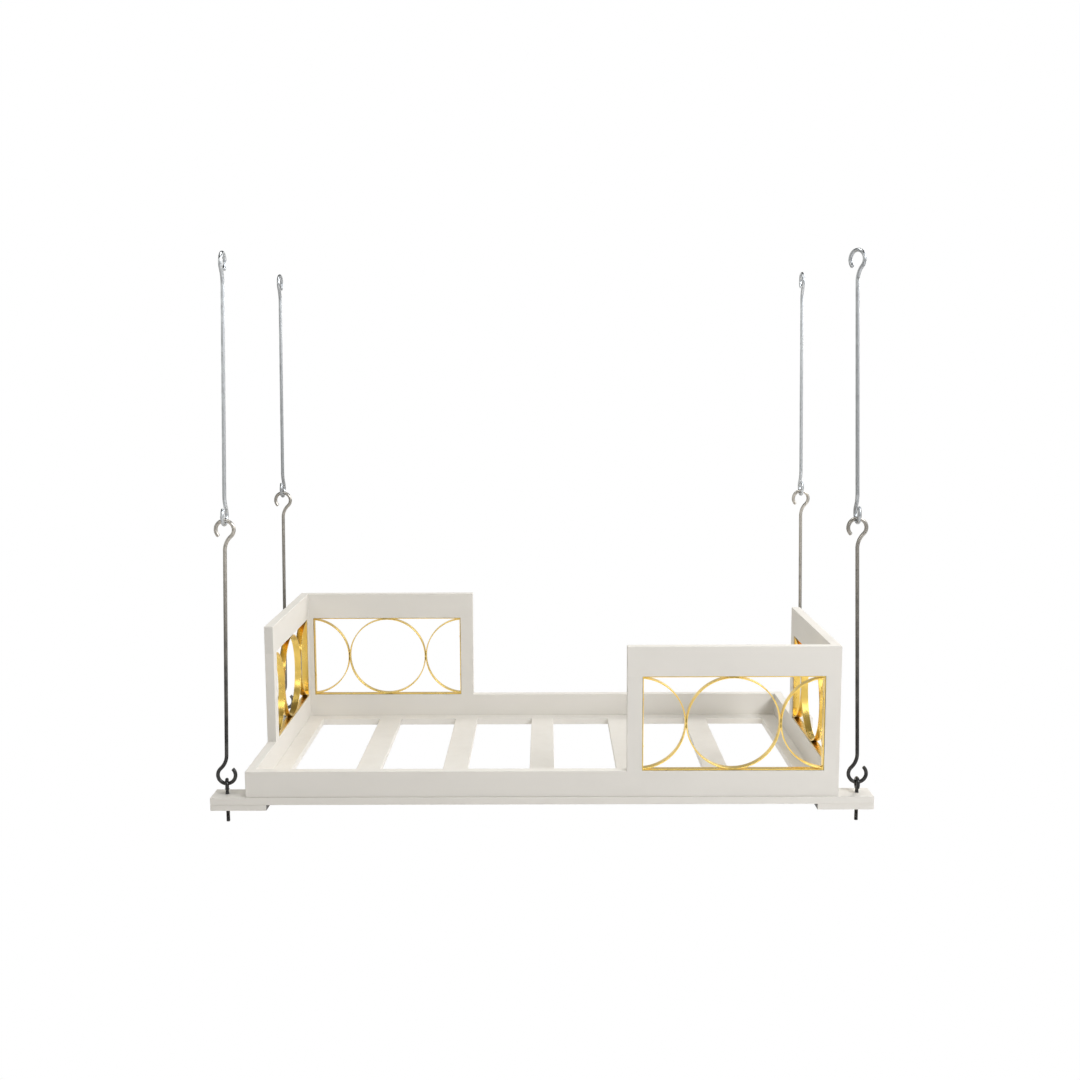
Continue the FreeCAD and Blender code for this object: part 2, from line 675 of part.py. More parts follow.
lower_rod_level = f"(eye_height + eye_radius - {link_drop} + hook_radius)"
for side, y_sign in SIDES:
    lean = f"rod_lean_{side}"
    for end, x_sign in ENDS:
        inward = f"-({x_sign}) * {lean}"
        y = f"{y_sign} * {side_rail_y}"
        low_x = f"{x_sign} * {eyebolt_x}"
        hooked_rod(f"{side}_{end}_lower_rod", "lower_rod_span", "0", "0", (low_x, y, lower_rod_level),
                   inward)
        # The upper rod's lower hook hangs under the top of the lower rod's upper hook.
        crossing = f"{lower_rod_level} + lower_rod_span * cos({lean} * 1 deg) + hook_radius - {link_drop}"
        high_x = f"{x_sign} * ({eyebolt_x} - (lower_rod_span + hook_radius) * sin({lean} * 1 deg))"
        high_z = f"{crossing} + hook_radius * cos({lean} * 1 deg)"
        twist = "top_hook_twist" if (side, end) == ("front", "right") else "0"
        hooked_rod(f"{side}_{end}_upper_rod", "upper_rod_span", "-90", f"-90 + {twist}",
                   (high_x, y, high_z), inward)

# ---------------------------------------------------------------- check and write

doc.recompute()
for thing in doc.Objects:
    if "Invalid" in thing.State or "Error" in thing.State:
        raise RuntimeError(f"{thing.Name} failed: {thing.getStatusString()}")
for node in nodes:
    if node.Shape.isNull() or not node.Shape.isValid() or node.Shape.Volume <= 0:
        raise RuntimeError(f"{node.Label} has no valid solid")
    node.Shape.exportStep(f"parts/{node.Label}.step")
print(len(nodes), "sub-parts written")
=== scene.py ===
import json
import math
from functools import cache

import bpy
import numpy as np
from bpy.props import FloatProperty, FloatVectorProperty, PointerProperty
from mathutils import Matrix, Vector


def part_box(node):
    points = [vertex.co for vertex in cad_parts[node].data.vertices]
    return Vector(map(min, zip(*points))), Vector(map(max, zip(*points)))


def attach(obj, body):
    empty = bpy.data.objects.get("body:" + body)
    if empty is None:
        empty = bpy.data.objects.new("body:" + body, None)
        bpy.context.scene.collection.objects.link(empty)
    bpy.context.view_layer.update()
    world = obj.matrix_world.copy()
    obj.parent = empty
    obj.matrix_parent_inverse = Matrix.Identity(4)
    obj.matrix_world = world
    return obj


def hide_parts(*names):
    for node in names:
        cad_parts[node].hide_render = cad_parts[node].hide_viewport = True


bl_info = {
    "name": "Hanging daybed",
    "version": (1, 0, 0),
    "blender": (4, 5, 0),
    "location": "3D View > Sidebar > Daybed",
    "description": "Painted timber, gilt grilles and hooked steel rods of a hanging daybed",
    "category": "Add Mesh",
}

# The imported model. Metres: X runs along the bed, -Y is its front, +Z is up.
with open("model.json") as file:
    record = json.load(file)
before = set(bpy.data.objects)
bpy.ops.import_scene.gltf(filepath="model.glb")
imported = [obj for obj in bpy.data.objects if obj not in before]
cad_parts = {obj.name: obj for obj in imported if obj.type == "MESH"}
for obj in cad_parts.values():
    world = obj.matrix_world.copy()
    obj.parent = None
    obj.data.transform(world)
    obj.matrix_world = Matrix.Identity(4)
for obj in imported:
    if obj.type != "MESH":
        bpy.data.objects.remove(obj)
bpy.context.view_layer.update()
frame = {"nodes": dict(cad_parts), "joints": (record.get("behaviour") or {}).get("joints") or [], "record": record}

AXES = "xyz"
MM = 0.001
HAIR = 0.02 * MM
CUT_OVER = 1 * MM
SHARP_ANGLE = math.radians(38)
SIDES = {"front": -1, "back": 1}
ENDS = {"left": -1, "right": 1}
# Each screen stands on the corner where a side meets an end.
SCREENS = (("back", "left"), ("front", "right"))
RODS = [(side, end) for side in SIDES for end in ENDS]
# The axis that each panel of a screen runs along: 0 for X and 1 for Y.
PANELS = {"front": 0, "back": 0, "left": 1, "right": 1}


def node_box(node):
    """The lowest and highest corner of a CAD node, as arrays."""
    return tuple(np.array(corner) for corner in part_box(node))


# ---------------------------------------------------------------- meshes from grids

def closed_volume(points, faces):
    """Six times the volume inside the faces: the sum of p0 . (p1 x p2) over their triangle fans."""
    total = 0.0
    for group in faces:
        corner = points[group[:, 0]]
        for step in range(1, group.shape[1] - 1):
            crossed = np.cross(points[group[:, step]], points[group[:, step + 1]])
            total += float(np.einsum("ij,ij->", corner, crossed))
    return total


def grid_shell(points, uv, marks=None, closed=False, cap_uv=None):
    """One closed shell from a grid of points, rows by columns.

    Columns close round. Rows either close too, or their first and last end in flat caps. A quad
    joins point (row, column) to its next column, the next row's next column and the next row.
    """
    rows, columns = points.shape[:2]
    row = np.arange(rows if closed else rows - 1)[:, None]
    column = np.arange(columns)[None, :]
    next_row, next_column = (row + 1) % rows, (column + 1) % columns
    ring = np.broadcast_arrays(
        row * columns + column,
        row * columns + next_column,
        next_row * columns + next_column,
        next_row * columns + column,
    )
    faces = [np.stack(ring, -1).reshape(-1, 4)]
    corners = (uv[row, column], uv[row, column + 1], uv[row + 1, column + 1], uv[row + 1, column])
    loop_uv = [np.stack(corners, -2).reshape(-1, 2)]
    if not closed:
        first = np.arange(columns)[None, ::-1]
        last = (rows - 1) * columns + np.arange(columns)[None, :]
        faces += [first, last]
        flat = uv[0, :columns] if cap_uv is None else cap_uv
        loop_uv += [flat[::-1], flat]
    flat_points = points.reshape(-1, 3)
    if closed_volume(flat_points, faces) < 0:
        faces = [group[:, ::-1] for group in faces]
        loop_uv = [
            part.reshape(group.shape[0], group.shape[1], 2)[:, ::-1].reshape(-1, 2)
            for part, group in zip(loop_uv, faces)
        ]
    marks = {key: np.broadcast_to(value, (rows, columns)).ravel() for key, value in (marks or {}).items()}
    return {"points": flat_points, "faces": faces, "uv": np.concatenate(loop_uv), "marks": marks}


def joined_mesh(name, shells):
    """One mesh of closed shells, in which each shell's points are numbered on from the last."""
    starts = np.cumsum([0] + [len(shell["points"]) for shell in shells])
    points = np.concatenate([shell["points"] for shell in shells])
    faces = [face for shell, start in zip(shells, starts)
             for group in shell["faces"] for face in (group + start).tolist()]
    mesh = bpy.data.meshes.new(name)
    mesh.from_pydata(points, [], faces)
    return mesh


def make_piece(name, shells, material, body, stands_for):
    """A mesh object of closed shells, which rides on a body and stands for a CAD node."""
    mesh = joined_mesh(name, shells)
    layer = mesh.uv_layers.new(name="lay")
    layer.data.foreach_set("uv", np.concatenate([shell["uv"] for shell in shells]).ravel())
    for key in sorted({key for shell in shells for key in shell["marks"]}):
        values = [shell["marks"].get(key, np.zeros(len(shell["points"]))) for shell in shells]
        attribute = mesh.attributes.new(key, "FLOAT", "POINT")
        attribute.data.foreach_set("value", np.concatenate(values).astype(np.float32))
    mesh.shade_smooth()
    mesh.set_sharp_from_angle(angle=SHARP_ANGLE)
    mesh.materials.append(material)
    piece = bpy.data.objects.new(name, mesh)
    bpy.context.scene.collection.objects.link(piece)
    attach(piece, body)
    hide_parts(stands_for)
    return piece


def cut_from(piece, shells):
    """Cuts closed shells out of a piece, and keeps the result as its mesh."""
    cutter = bpy.data.objects.new("cutter", joined_mesh("cutter", shells))
    bpy.context.scene.collection.objects.link(cutter)
    cut = piece.modifiers.new("holes", "BOOLEAN")
    cut.object = cutter
    cut.solver = "EXACT"
    view = bpy.context.evaluated_depsgraph_get()
    view.update()
    mesh = bpy.data.meshes.new_from_object(piece.evaluated_get(view))
    mesh.name = piece.name
    piece.modifiers.clear()
    old = piece.data
    piece.data = mesh
    bpy.data.meshes.remove(old)
    spent = cutter.data
    bpy.data.objects.remove(cutter)
    bpy.data.meshes.remove(spent)
    mesh.set_sharp_from_angle(angle=SHARP_ANGLE)


# ---------------------------------------------------------------- timber shapes

QUARTER_STEPS = 5
SUPPORT = 0.8 * MM
CORNER_SIGNS = np.array([(1, 1), (-1, 1), (-1, -1), (1, -1)])


def side_names(grain):
    """The names of the two sides that meet at each of the section's corners, such as -y and +z."""
    across, up = AXES[(grain + 1) % 3], AXES[(grain + 2) % 3]
    return [{"-+"[int(s > 0)] + across, "-+"[int(t > 0)] + up} for s, t in CORNER_SIGNS]


def eased_board(low, high, grain, soft, crisp, crisp_sides=(), crisp_ends=(), flush=()):
    """A planed board with eased edges, its grain along the given axis.

    Each row across the board is a rectangle whose corners are quarter circles of radius r. Where
    a row is p from an end of radius e, its sides stand in by e - sqrt(e^2 - (e - p)^2), so the
    end's edges are quarter circles too. Corners are crisp on crisp_sides, and within each flush
    stretch (side, start, stop) where another board is glued on.
    """
    low, high = np.asarray(low, float), np.asarray(high, float)
    across, up = (grain + 1) % 3, (grain + 2) % 3
    length = high[grain] - low[grain]
    half = np.array([high[across] - low[across], high[up] - low[up]]) / 2
    ends = [crisp if sign in crisp_ends else soft for sign in ("-", "+")]
    curve = 1 - np.sin(np.linspace(math.pi / 2, 0, QUARTER_STEPS + 1))
    stops = [ends[0] * curve, [ends[0] + SUPPORT], np.linspace(0.02, length - 0.02, 7),
             [length - ends[1] - SUPPORT], length - ends[1] * curve]
    for _, start, stop in flush:
        for edge in (start - low[grain], stop - low[grain]):
            stops.append(np.clip([edge - 0.5 * MM, edge + 0.5 * MM], ends[0] + SUPPORT,
                                 length - ends[1] - SUPPORT))
    place = np.unique(np.round(np.concatenate(stops), 7))
    into = np.maximum(np.clip(1 - place / ends[0], 0, 1), np.clip(1 - (length - place) / ends[1], 0, 1))
    end_radius = np.where(place < length / 2, ends[0], ends[1])
    inset = end_radius * (1 - np.sqrt(1 - into ** 2))
    radius = np.empty((len(place), 4))
    for corner, names in enumerate(side_names(grain)):
        radius[:, corner] = crisp if names & set(crisp_sides) else soft
        for side, start, stop in flush:
            if side in names:
                held = (place + low[grain] > start) & (place + low[grain] < stop)
                radius[held, corner] = crisp
    # A row more at each end lies inside the end face, so that the face shades flat.
    place = np.concatenate([[0], place, [length]])
    inset = np.concatenate([[inset[0] + SUPPORT], inset, [inset[-1] + SUPPORT]])
    radius = np.concatenate([radius[:1], radius, radius[-1:]])
    radius = np.maximum(radius - inset[:, None], HAIR)
    columns, worn = [], []
    for corner, sign in enumerate(CORNER_SIGNS):
        turn = np.linspace(0, math.pi / 2, QUARTER_STEPS + 1) + corner * math.pi / 2
        spoke = np.stack([np.cos(turn), np.sin(turn)], -1)
        centre = sign * (half - inset[:, None] - radius[:, corner, None])
        arc = centre[:, None] + radius[:, corner, None, None] * spoke
        ends_of_arc = turn[[0, -1]]
        along = np.stack([-np.sin(ends_of_arc), np.cos(ends_of_arc)], -1)
        before, after = arc[:, :1] - along[0] * SUPPORT, arc[:, -1:] + along[1] * SUPPORT
        columns.append(np.concatenate([before, arc, after], 1))
        worn.append(np.concatenate([[0], np.sin(2 * (turn - turn[0])), [0]]))
    section = np.concatenate(columns, 1)
    points = np.empty(section.shape[:2] + (3,))
    points[..., grain] = (low[grain] + place)[:, None]
    points[..., across] = section[..., 0] + (low[across] + high[across]) / 2
    points[..., up] = section[..., 1] + (low[up] + high[up]) / 2
    middle = section[len(place) // 2]
    girth = np.concatenate([[0], np.cumsum(np.linalg.norm(np.roll(middle, -1, 0) - middle, axis=1))])
    uv = np.stack(np.broadcast_arrays(points[:, :1, grain], girth[None] + points[0, 0, up]), -1)
    end_worn = np.where((inset > 0) & (inset <= soft), np.sin(np.pi * np.clip(inset / soft, 0, 1)), 0)
    marks = {
        "arris": np.maximum(np.concatenate(worn)[None], end_worn[:, None]),
        "end_grain": (np.arange(len(place)) % (len(place) - 1) == 0)[:, None].astype(float),
    }
    return grid_shell(points, uv, marks, cap_uv=middle * (1.0, 0.35) + points[0, 0, grain])


def turned_shell(rows, centre, up=(0, 0, 1), segments=48, shape=None, marks=None, closed=False):
    """A turned part: rows of (radius, height) carried round an axis.

    shape(radius, height, angle) may change either at each row and angle, as a thread or a
    hexagon needs.
    """
    angle = np.linspace(0, 2 * math.pi, segments, endpoint=False)
    radius = np.asarray([row[0] for row in rows], float)[:, None] * np.ones(segments)
    height = np.asarray([row[1] for row in rows], float)[:, None] * np.ones(segments)
    if shape is not None:
        radius, height = shape(radius, height, angle)
    up = np.asarray(up, float)
    side = np.cross(up, (0.0, 0.0, 1.0)) if abs(up[2]) < 0.9 else np.array([1.0, 0.0, 0.0])
    side /= np.linalg.norm(side)
    other = np.cross(up, side)
    points = (np.asarray(centre) + (radius * np.cos(angle))[..., None] * side
              + (radius * np.sin(angle))[..., None] * other + height[..., None] * up)
    around = np.linspace(0, 2 * math.pi, segments + 1) * float(radius.mean())
    count = len(rows) + (1 if closed else 0)
    slope = np.linalg.norm(np.diff(points[:, 0], axis=0, append=points[:1, 0]), axis=1)
    along = np.concatenate([[0], np.cumsum(slope)])[:count]
    uv = np.stack(np.broadcast_arrays(along[:, None], around[None]), -1)
    return grid_shell(points, uv, marks, closed=closed)


# ---------------------------------------------------------------- flat bar

BAR_STEPS = 3


def bar_section(thickness, width, arris):
    """Points round a flat bar's section, with rounded corners: (across its thickness, its width)."""
    columns, worn = [], []
    half = np.array([thickness, width]) / 2
    support = 0.35 * MM
    for corner, sign in enumerate(CORNER_SIGNS):
        turn = np.linspace(0, math.pi / 2, BAR_STEPS + 1) + corner * math.pi / 2
        arc = sign * (half - arris) + arris * np.stack([np.cos(turn), np.sin(turn)], -1)
        before = arc[:1] - support * np.array([[-math.sin(turn[0]), math.cos(turn[0])]])
        after = arc[-1:] + support * np.array([[-math.sin(turn[-1]), math.cos(turn[-1])]])
        columns.append(np.concatenate([before, arc, after]))
        worn.append(np.concatenate([[0], np.sin(2 * (turn - turn[0])), [0]]))
    section = np.concatenate(columns) + (thickness / 2, 0)
    step = np.linalg.norm(np.roll(section, -1, 0) - section, axis=1)
    return section, np.concatenate(worn), np.concatenate([[0], np.cumsum(step)])


def swept_bar(path, inward, depth_axis, section, soot, soot_and_shade_face, painted_shade_outside=False, offset=0.0):
    """A flat bar carried round a path: path + inward * n + depth * b for each section point (n, b).

    The soot and painted shade fall on the face that meets another bar, 0 the outer and 1 the inner.
    The outer face, where the frame meets the timber, can be darkened as painted shade too.
    """
    profile, worn, girth = section
    depth = np.eye(3)[depth_axis]
    points = path[:, None] + inward[:, None] * profile[None, :, :1] + depth * profile[None, :, 1:]
    step = np.linalg.norm(np.roll(path, -1, 0) - path, axis=1)
    along = np.concatenate([[0], np.cumsum(step)]) + offset
    uv = np.stack(np.broadcast_arrays(along[:, None], girth[None]), -1)
    mask = soot(points) * facing(profile, soot_and_shade_face)
    # Painted shade: the outer face, where the frame meets the timber, is darkened.
    if painted_shade_outside:
        mask = np.maximum(mask, 0.8 * facing(profile, 0) ** 2)
    marks = {"arris": worn[None], "soot": mask}
    return grid_shell(points, uv, marks, closed=True)


def facing(profile, face):
    """1 on one face of a bar (0 the outer, 1 the inner), falling to 0 on the other."""
    across = profile[:, 0] / profile[:, 0].max()
    return (1 - np.abs(across - face))[None]


def in_plane(across_axis, centre, across, up):
    """Points of an upright panel from distances across it and up from its centre."""
    points = np.empty(np.broadcast(across, up).shape + (3,))
    points[...] = centre
    points[..., across_axis] += across
    points[..., 2] += up
    return points


# ---------------------------------------------------------------- wire

WIRE_SIDES = 40


def wire_frames(centres, bends):
    """Unit tangents along a wire, and a side vector square to each that follows bends."""
    tangent = np.gradient(centres, axis=0)
    tangent /= np.linalg.norm(tangent, axis=1)[:, None]
    side = bends - np.einsum("ij,ij->i", bends, tangent)[:, None] * tangent
    side /= np.linalg.norm(side, axis=1)[:, None]
    return tangent, side


def wire_shell(centres, bends, radius, tip, marks):
    """A round wire: a circle square to the path at each centre.

    Within tip of either end the radius falls to radius - tip + sqrt(tip^2 - (tip - s)^2), a
    quarter circle, and the end is flat inside it.
    """
    tangent, side = wire_frames(centres, bends)
    other = np.cross(tangent, side)
    step = np.linalg.norm(np.diff(centres, axis=0), axis=1)
    along = np.concatenate([[0], np.cumsum(step)])
    to_end = np.minimum(along, along[-1] - along)
    into = np.clip(1 - to_end / tip, 0, 1)
    thick = radius - tip * (1 - np.sqrt(1 - into ** 2))
    thick[[0, -1]] = radius - tip - 0.4 * MM
    angle = np.linspace(0, 2 * math.pi, WIRE_SIDES, endpoint=False)
    spoke = np.cos(angle)[None, :, None] * side[:, None] + np.sin(angle)[None, :, None] * other[:, None]
    points = centres[:, None] + thick[:, None, None] * spoke
    around = np.linspace(0, 2 * math.pi * radius, WIRE_SIDES + 1)
    uv = np.stack(np.broadcast_arrays(along[:, None], around[None]), -1)
    marks = {key: np.asarray(value)[:, None] for key, value in marks.items()}
    return grid_shell(points, uv, marks)


# ---------------------------------------------------------------- node trees

class Tree:
    """Adds nodes to one node tree, and joins or sets their sockets."""

    def __init__(self, tree):
        self.tree = tree

    def add(self, kind, inputs=None, **settings):
        made = self.tree.nodes.new("ShaderNode" + kind)
        for key, value in settings.items():
            setattr(made, key, value)
        for socket, value in (inputs or {}).items():
            if isinstance(value, bpy.types.NodeSocket):
                self.tree.links.new(value, made.inputs[socket])
            else:
                made.inputs[socket].default_value = value
        return made

    def math(self, operation, first, second=0.0, clamp=False):
        return self.add("Math", {0: first, 1: second}, operation=operation, use_clamp=clamp).outputs[0]

    def mix(self, factor, first, second, blend="MIX"):
        made = self.add("Mix", {0: factor, 6: first, 7: second}, data_type="RGBA", blend_type=blend)
        return made.outputs[2]

    def scaled(self, vector, scale, location=(0, 0, 0)):
        made = self.add("Mapping", {"Vector": vector, "Scale": scale, "Location": location})
        return made.outputs[0]

    def noise(self, vector, scale, detail=2.0, roughness=0.5, distortion=0.0):
        made = self.add("TexNoise", {"Vector": vector, "Scale": scale, "Detail": detail,
                                     "Roughness": roughness, "Distortion": distortion})
        return made.outputs[0]

    def span(self, value, low, high, to_low=0.0, to_high=1.0):
        """A value's stretch from low to high, moved to another stretch and held there."""
        made = self.add("MapRange", {0: value, 1: low, 2: high, 3: to_low, 4: to_high})
        made.interpolation_type = "SMOOTHSTEP"
        return made.outputs[0]

    def mark(self, name):
        return self.add("Attribute", attribute_name=name).outputs["Fac"]

    def lay(self):
        """The piece's own layout: metres along it, and metres round it."""
        return self.add("UVMap", uv_map="lay").outputs[0]

    def place(self):
        return self.add("TexCoord").outputs["Object"]

    def group(self, made_of, inputs):
        node = self.add("Group", node_tree=made_of)
        for socket, value in inputs.items():
            if isinstance(value, bpy.types.NodeSocket):
                self.tree.links.new(value, node.inputs[socket])
            else:
                node.inputs[socket].default_value = value
        return node.outputs


def new_group(name, takes, gives):
    """A shader node group with named inputs (name, kind, default) and outputs (name, kind)."""
    made = bpy.data.node_groups.new(name, "ShaderNodeTree")
    for label, kind, default in takes:
        socket = made.interface.new_socket(name=label, in_out="INPUT", socket_type="NodeSocket" + kind)
        if default is not None:
            socket.default_value = default
    for label, kind in gives:
        made.interface.new_socket(name=label, in_out="OUTPUT", socket_type="NodeSocket" + kind)
    tree = Tree(made)
    source = made.nodes.new("NodeGroupInput").outputs
    sink = made.nodes.new("NodeGroupOutput").inputs

    def give(label, socket):
        made.links.new(socket, sink[label])

    return made, tree, source, give


def shaded(colour, share):
    """A colour at a share of its brightness."""
    return tuple(part * share for part in colour[:3]) + (1.0,)


def new_material(name):
    """A material with its Principled shader, and a tree to build on."""
    material = bpy.data.materials.new(name)
    material.use_nodes = True
    tree = Tree(material.node_tree)
    shader = material.node_tree.nodes["Principled BSDF"]
    return material, tree, shader


def finish_material(tree, shader, sockets, height=None, distance=0.0, strength=1.0):
    """Joins or sets the shader's sockets, and puts a bump from the height on its normal."""
    for label, value in sockets.items():
        if isinstance(value, bpy.types.NodeSocket):
            tree.tree.links.new(value, shader.inputs[label])
        else:
            shader.inputs[label].default_value = value
    if height is not None:
        bump = tree.add("Bump", {"Height": height, "Distance": distance, "Strength": strength})
        tree.tree.links.new(bump.outputs[0], shader.inputs["Normal"])


@cache
def grain_group():
    """Timber under paint: long grain lines, brush strokes and a slow mottle."""
    made, tree, source, give = new_group(
        "grain_under_paint",
        [("Vector", "Vector", None), ("Grain", "Float", 1.0), ("Strokes", "Float", 1.0)],
        [("Height", "Float"), ("Mottle", "Float"), ("Lines", "Float")],
    )
    vector = source["Vector"]
    warp = tree.noise(tree.scaled(vector, (1.6, 5.0, 5.0)), 1.0, 2.0)
    bent = tree.add("VectorMath", {0: vector, 1: tree.add("CombineXYZ", {
        "Y": tree.math("MULTIPLY", warp, 0.05)}).outputs[0]}, operation="ADD").outputs[0]
    lines = tree.noise(tree.scaled(bent, (2.2, 190.0, 190.0)), 1.0, 4.0, 0.6)
    pores = tree.noise(tree.scaled(bent, (14.0, 900.0, 900.0)), 1.0, 2.0, 0.5)
    strokes = tree.noise(tree.scaled(vector, (3.0, 520.0, 520.0), (0.3, 0.1, 0.2)), 1.0, 3.0, 0.55)
    mottle = tree.noise(tree.scaled(vector, (2.5, 6.0, 6.0)), 1.0, 3.0, 0.6)
    open_pores = tree.span(pores, 0.62, 0.75)
    grain = tree.math("MULTIPLY", tree.math("SUBTRACT", lines, tree.math("MULTIPLY", open_pores, 0.5)),
                      source["Grain"])
    height = tree.math("ADD", grain, tree.math("MULTIPLY", strokes, source["Strokes"]))
    give("Height", height)
    give("Mottle", mottle)
    give("Lines", tree.span(lines, 0.4, 0.66))
    return made


@cache
def wear_group():
    """Rubbed edges: the arris mark, broken up by noise."""
    made, tree, source, give = new_group(
        "edge_wear",
        [("Vector", "Vector", None), ("Arris", "Float", 0.0), ("Scale", "Float", 40.0),
         ("Amount", "Float", 0.5)],
        [("Mask", "Float")],
    )
    patch = tree.add("TexNoise", {"Vector": source["Vector"], "Scale": source["Scale"], "Detail": 4.0})
    broken = tree.math("ADD", patch.outputs[0], tree.math("SUBTRACT", source["Amount"], 1.0))
    give("Mask", tree.math("MULTIPLY", tree.span(broken, -0.05, 0.2), source["Arris"], clamp=True))
    return made


@cache
def dust_group():
    """Fine dust that has settled where a surface faces up."""
    made, tree, source, give = new_group(
        "settled_dust", [("Vector", "Vector", None), ("Amount", "Float", 0.3)], [("Mask", "Float")])
    facing = tree.add("SeparateXYZ", {0: tree.add("NewGeometry").outputs["Normal"]}).outputs["Z"]
    up = tree.span(facing, 0.5, 1.0)
    cloud = tree.span(tree.noise(source["Vector"], 9.0, 5.0, 0.65), 0.35, 0.75)
    give("Mask", tree.math("MULTIPLY", tree.math("MULTIPLY", up, cloud), source["Amount"]))
    return made


@cache
def painted_timber():
    """Satin greige paint over close-grained timber."""
    sizes = bpy.context.scene.daybed_timber
    material, tree, shader = new_material("painted timber")
    lay = tree.lay()
    grain = tree.group(grain_group(), {"Vector": lay, "Grain": 0.8, "Strokes": 0.5})
    worn = tree.group(wear_group(), {"Vector": tree.place(), "Arris": tree.mark("arris"),
                                     "Scale": 26.0, "Amount": 0.42})["Mask"]
    dust = tree.group(dust_group(), {"Vector": tree.place(), "Amount": 0.25})["Mask"]
    paint = shaded(sizes.paint, 1.0)
    deep = shaded(sizes.paint, 0.975)
    warm = (sizes.paint[0] * 1.0, sizes.paint[1] * 0.985, sizes.paint[2] * 0.955, 1.0)
    colour = tree.mix(tree.span(grain["Mottle"], 0.35, 0.7), paint, deep)
    colour = tree.mix(tree.math("MULTIPLY", grain["Lines"], 0.18), colour, warm)
    colour = tree.mix(tree.mark("end_grain"), colour, shaded(sizes.paint, 0.93))
    colour = tree.mix(tree.math("MULTIPLY", worn, 0.5), colour, shaded(sizes.rubbed, 1.0))
    colour = tree.mix(dust, colour, (0.62, 0.58, 0.52, 1.0))
    # Painted shade: the inner end faces of the hanger blocks are painted near black, where they stand in shadow.
    end_shade = tree.mark("bare_end")
    colour = tree.mix(end_shade, colour, (0.012, 0.011, 0.010, 1.0))
    rough = tree.math("ADD", tree.span(grain["Mottle"], 0.3, 0.7, 0.36, 0.46),
                      tree.math("MULTIPLY", dust, 0.4))
    fine = tree.noise(tree.place(), 900.0, 2.0)
    height = tree.math("ADD", grain["Height"], tree.math("MULTIPLY", fine, 0.25))
    finish_material(tree, shader, {"Base Color": colour, "Roughness": rough}, height, 0.12 * MM, 0.4)
    return material


def gold_leaf(name, base, deep, ground_and_shade_colour, rough_low, rough_high):
    """Leafed bar: overlapping squares of leaf, thin patches that show the ground, weld soot and painted shade."""
    material, tree, shader = new_material(name)
    lay, place = tree.lay(), tree.place()
    square = bpy.context.scene.daybed_gilt.leaf
    tone = tree.add("TexVoronoi", {"Vector": tree.scaled(lay, (1 / square, 0.7 / square, 1.0)),
                                   "Scale": 1.0, "Randomness": 0.35}, distance="CHEBYCHEV")
    piece_tone = tree.add("SeparateColor", {0: tone.outputs["Color"]}).outputs[0]
    seam = tree.add("TexVoronoi", {"Vector": tree.scaled(lay, (1 / square, 0.7 / square, 1.0)),
                                   "Scale": 1.0, "Randomness": 0.35}, feature="DISTANCE_TO_EDGE")
    lap = tree.span(seam.outputs["Distance"], 0.0, 0.035, 1.0, 0.0)
    cloud = tree.noise(place, 14.0, 5.0, 0.65)
    speck = tree.span(tree.noise(place, 160.0, 3.0, 0.6), 0.69, 0.78)
    worn = tree.group(wear_group(), {"Vector": place, "Arris": tree.mark("arris"), "Scale": 60.0,
                                     "Amount": 0.45})["Mask"]
    colour = tree.mix(tree.math("MULTIPLY", piece_tone, 0.3), base, deep)
    colour = tree.mix(tree.span(cloud, 0.35, 0.75, 0.0, 0.4), colour, deep)
    colour = tree.mix(tree.math("MULTIPLY", lap, 0.15), colour, base)
    colour = tree.mix(tree.math("MULTIPLY", speck, 0.35), colour, ground_and_shade_colour)
    colour = tree.mix(tree.math("MULTIPLY", worn, 0.35), colour, (0.95, 0.78, 0.42, 1.0))
    # Weld soot and painted shade: dark where the bars meet and on the frame's outer face, broken up by the cloud.
    uneven = tree.math("MULTIPLY", tree.math("SUBTRACT", cloud, 0.5), 0.3)
    ragged = tree.math("ADD", tree.mark("soot"), uneven)
    soot = tree.span(ragged, 0.22, 0.62)
    colour = tree.mix(tree.math("MULTIPLY", soot, 0.9), colour, ground_and_shade_colour)
    rough = tree.math("ADD", tree.span(cloud, 0.3, 0.7, rough_low, rough_high),
                      tree.math("MULTIPLY", soot, 0.3))
    metal = tree.span(tree.math("ADD", soot, tree.math("MULTIPLY", speck, 0.4)), 0.0, 1.0, 1.0, 0.55)
    ripple = tree.noise(tree.scaled(lay, (60.0, 160.0, 1.0)), 1.0, 3.0, 0.55)
    height = tree.math("ADD", ripple, tree.math("MULTIPLY", lap, 0.4))
    finish_material(tree, shader, {"Base Color": colour, "Roughness": rough, "Metallic": metal},
                    height, 0.1 * MM, 0.12)
    return material


@cache
def gilt_bar():
    colours = bpy.context.scene.daybed_gilt
    return gold_leaf("gilt bar", shaded(colours.gold, 1.0), shaded(colours.deep_gold, 1.0),
                     shaded(colours.ground, 1.0), 0.25, 0.31)


@cache
def gilt_screw():
    colours = bpy.context.scene.daybed_gilt
    return gold_leaf("gilt screw", shaded(colours.deep_gold, 1.0), shaded(colours.gold, 1.0),
                     shaded(colours.ground, 1.0), 0.3, 0.45)


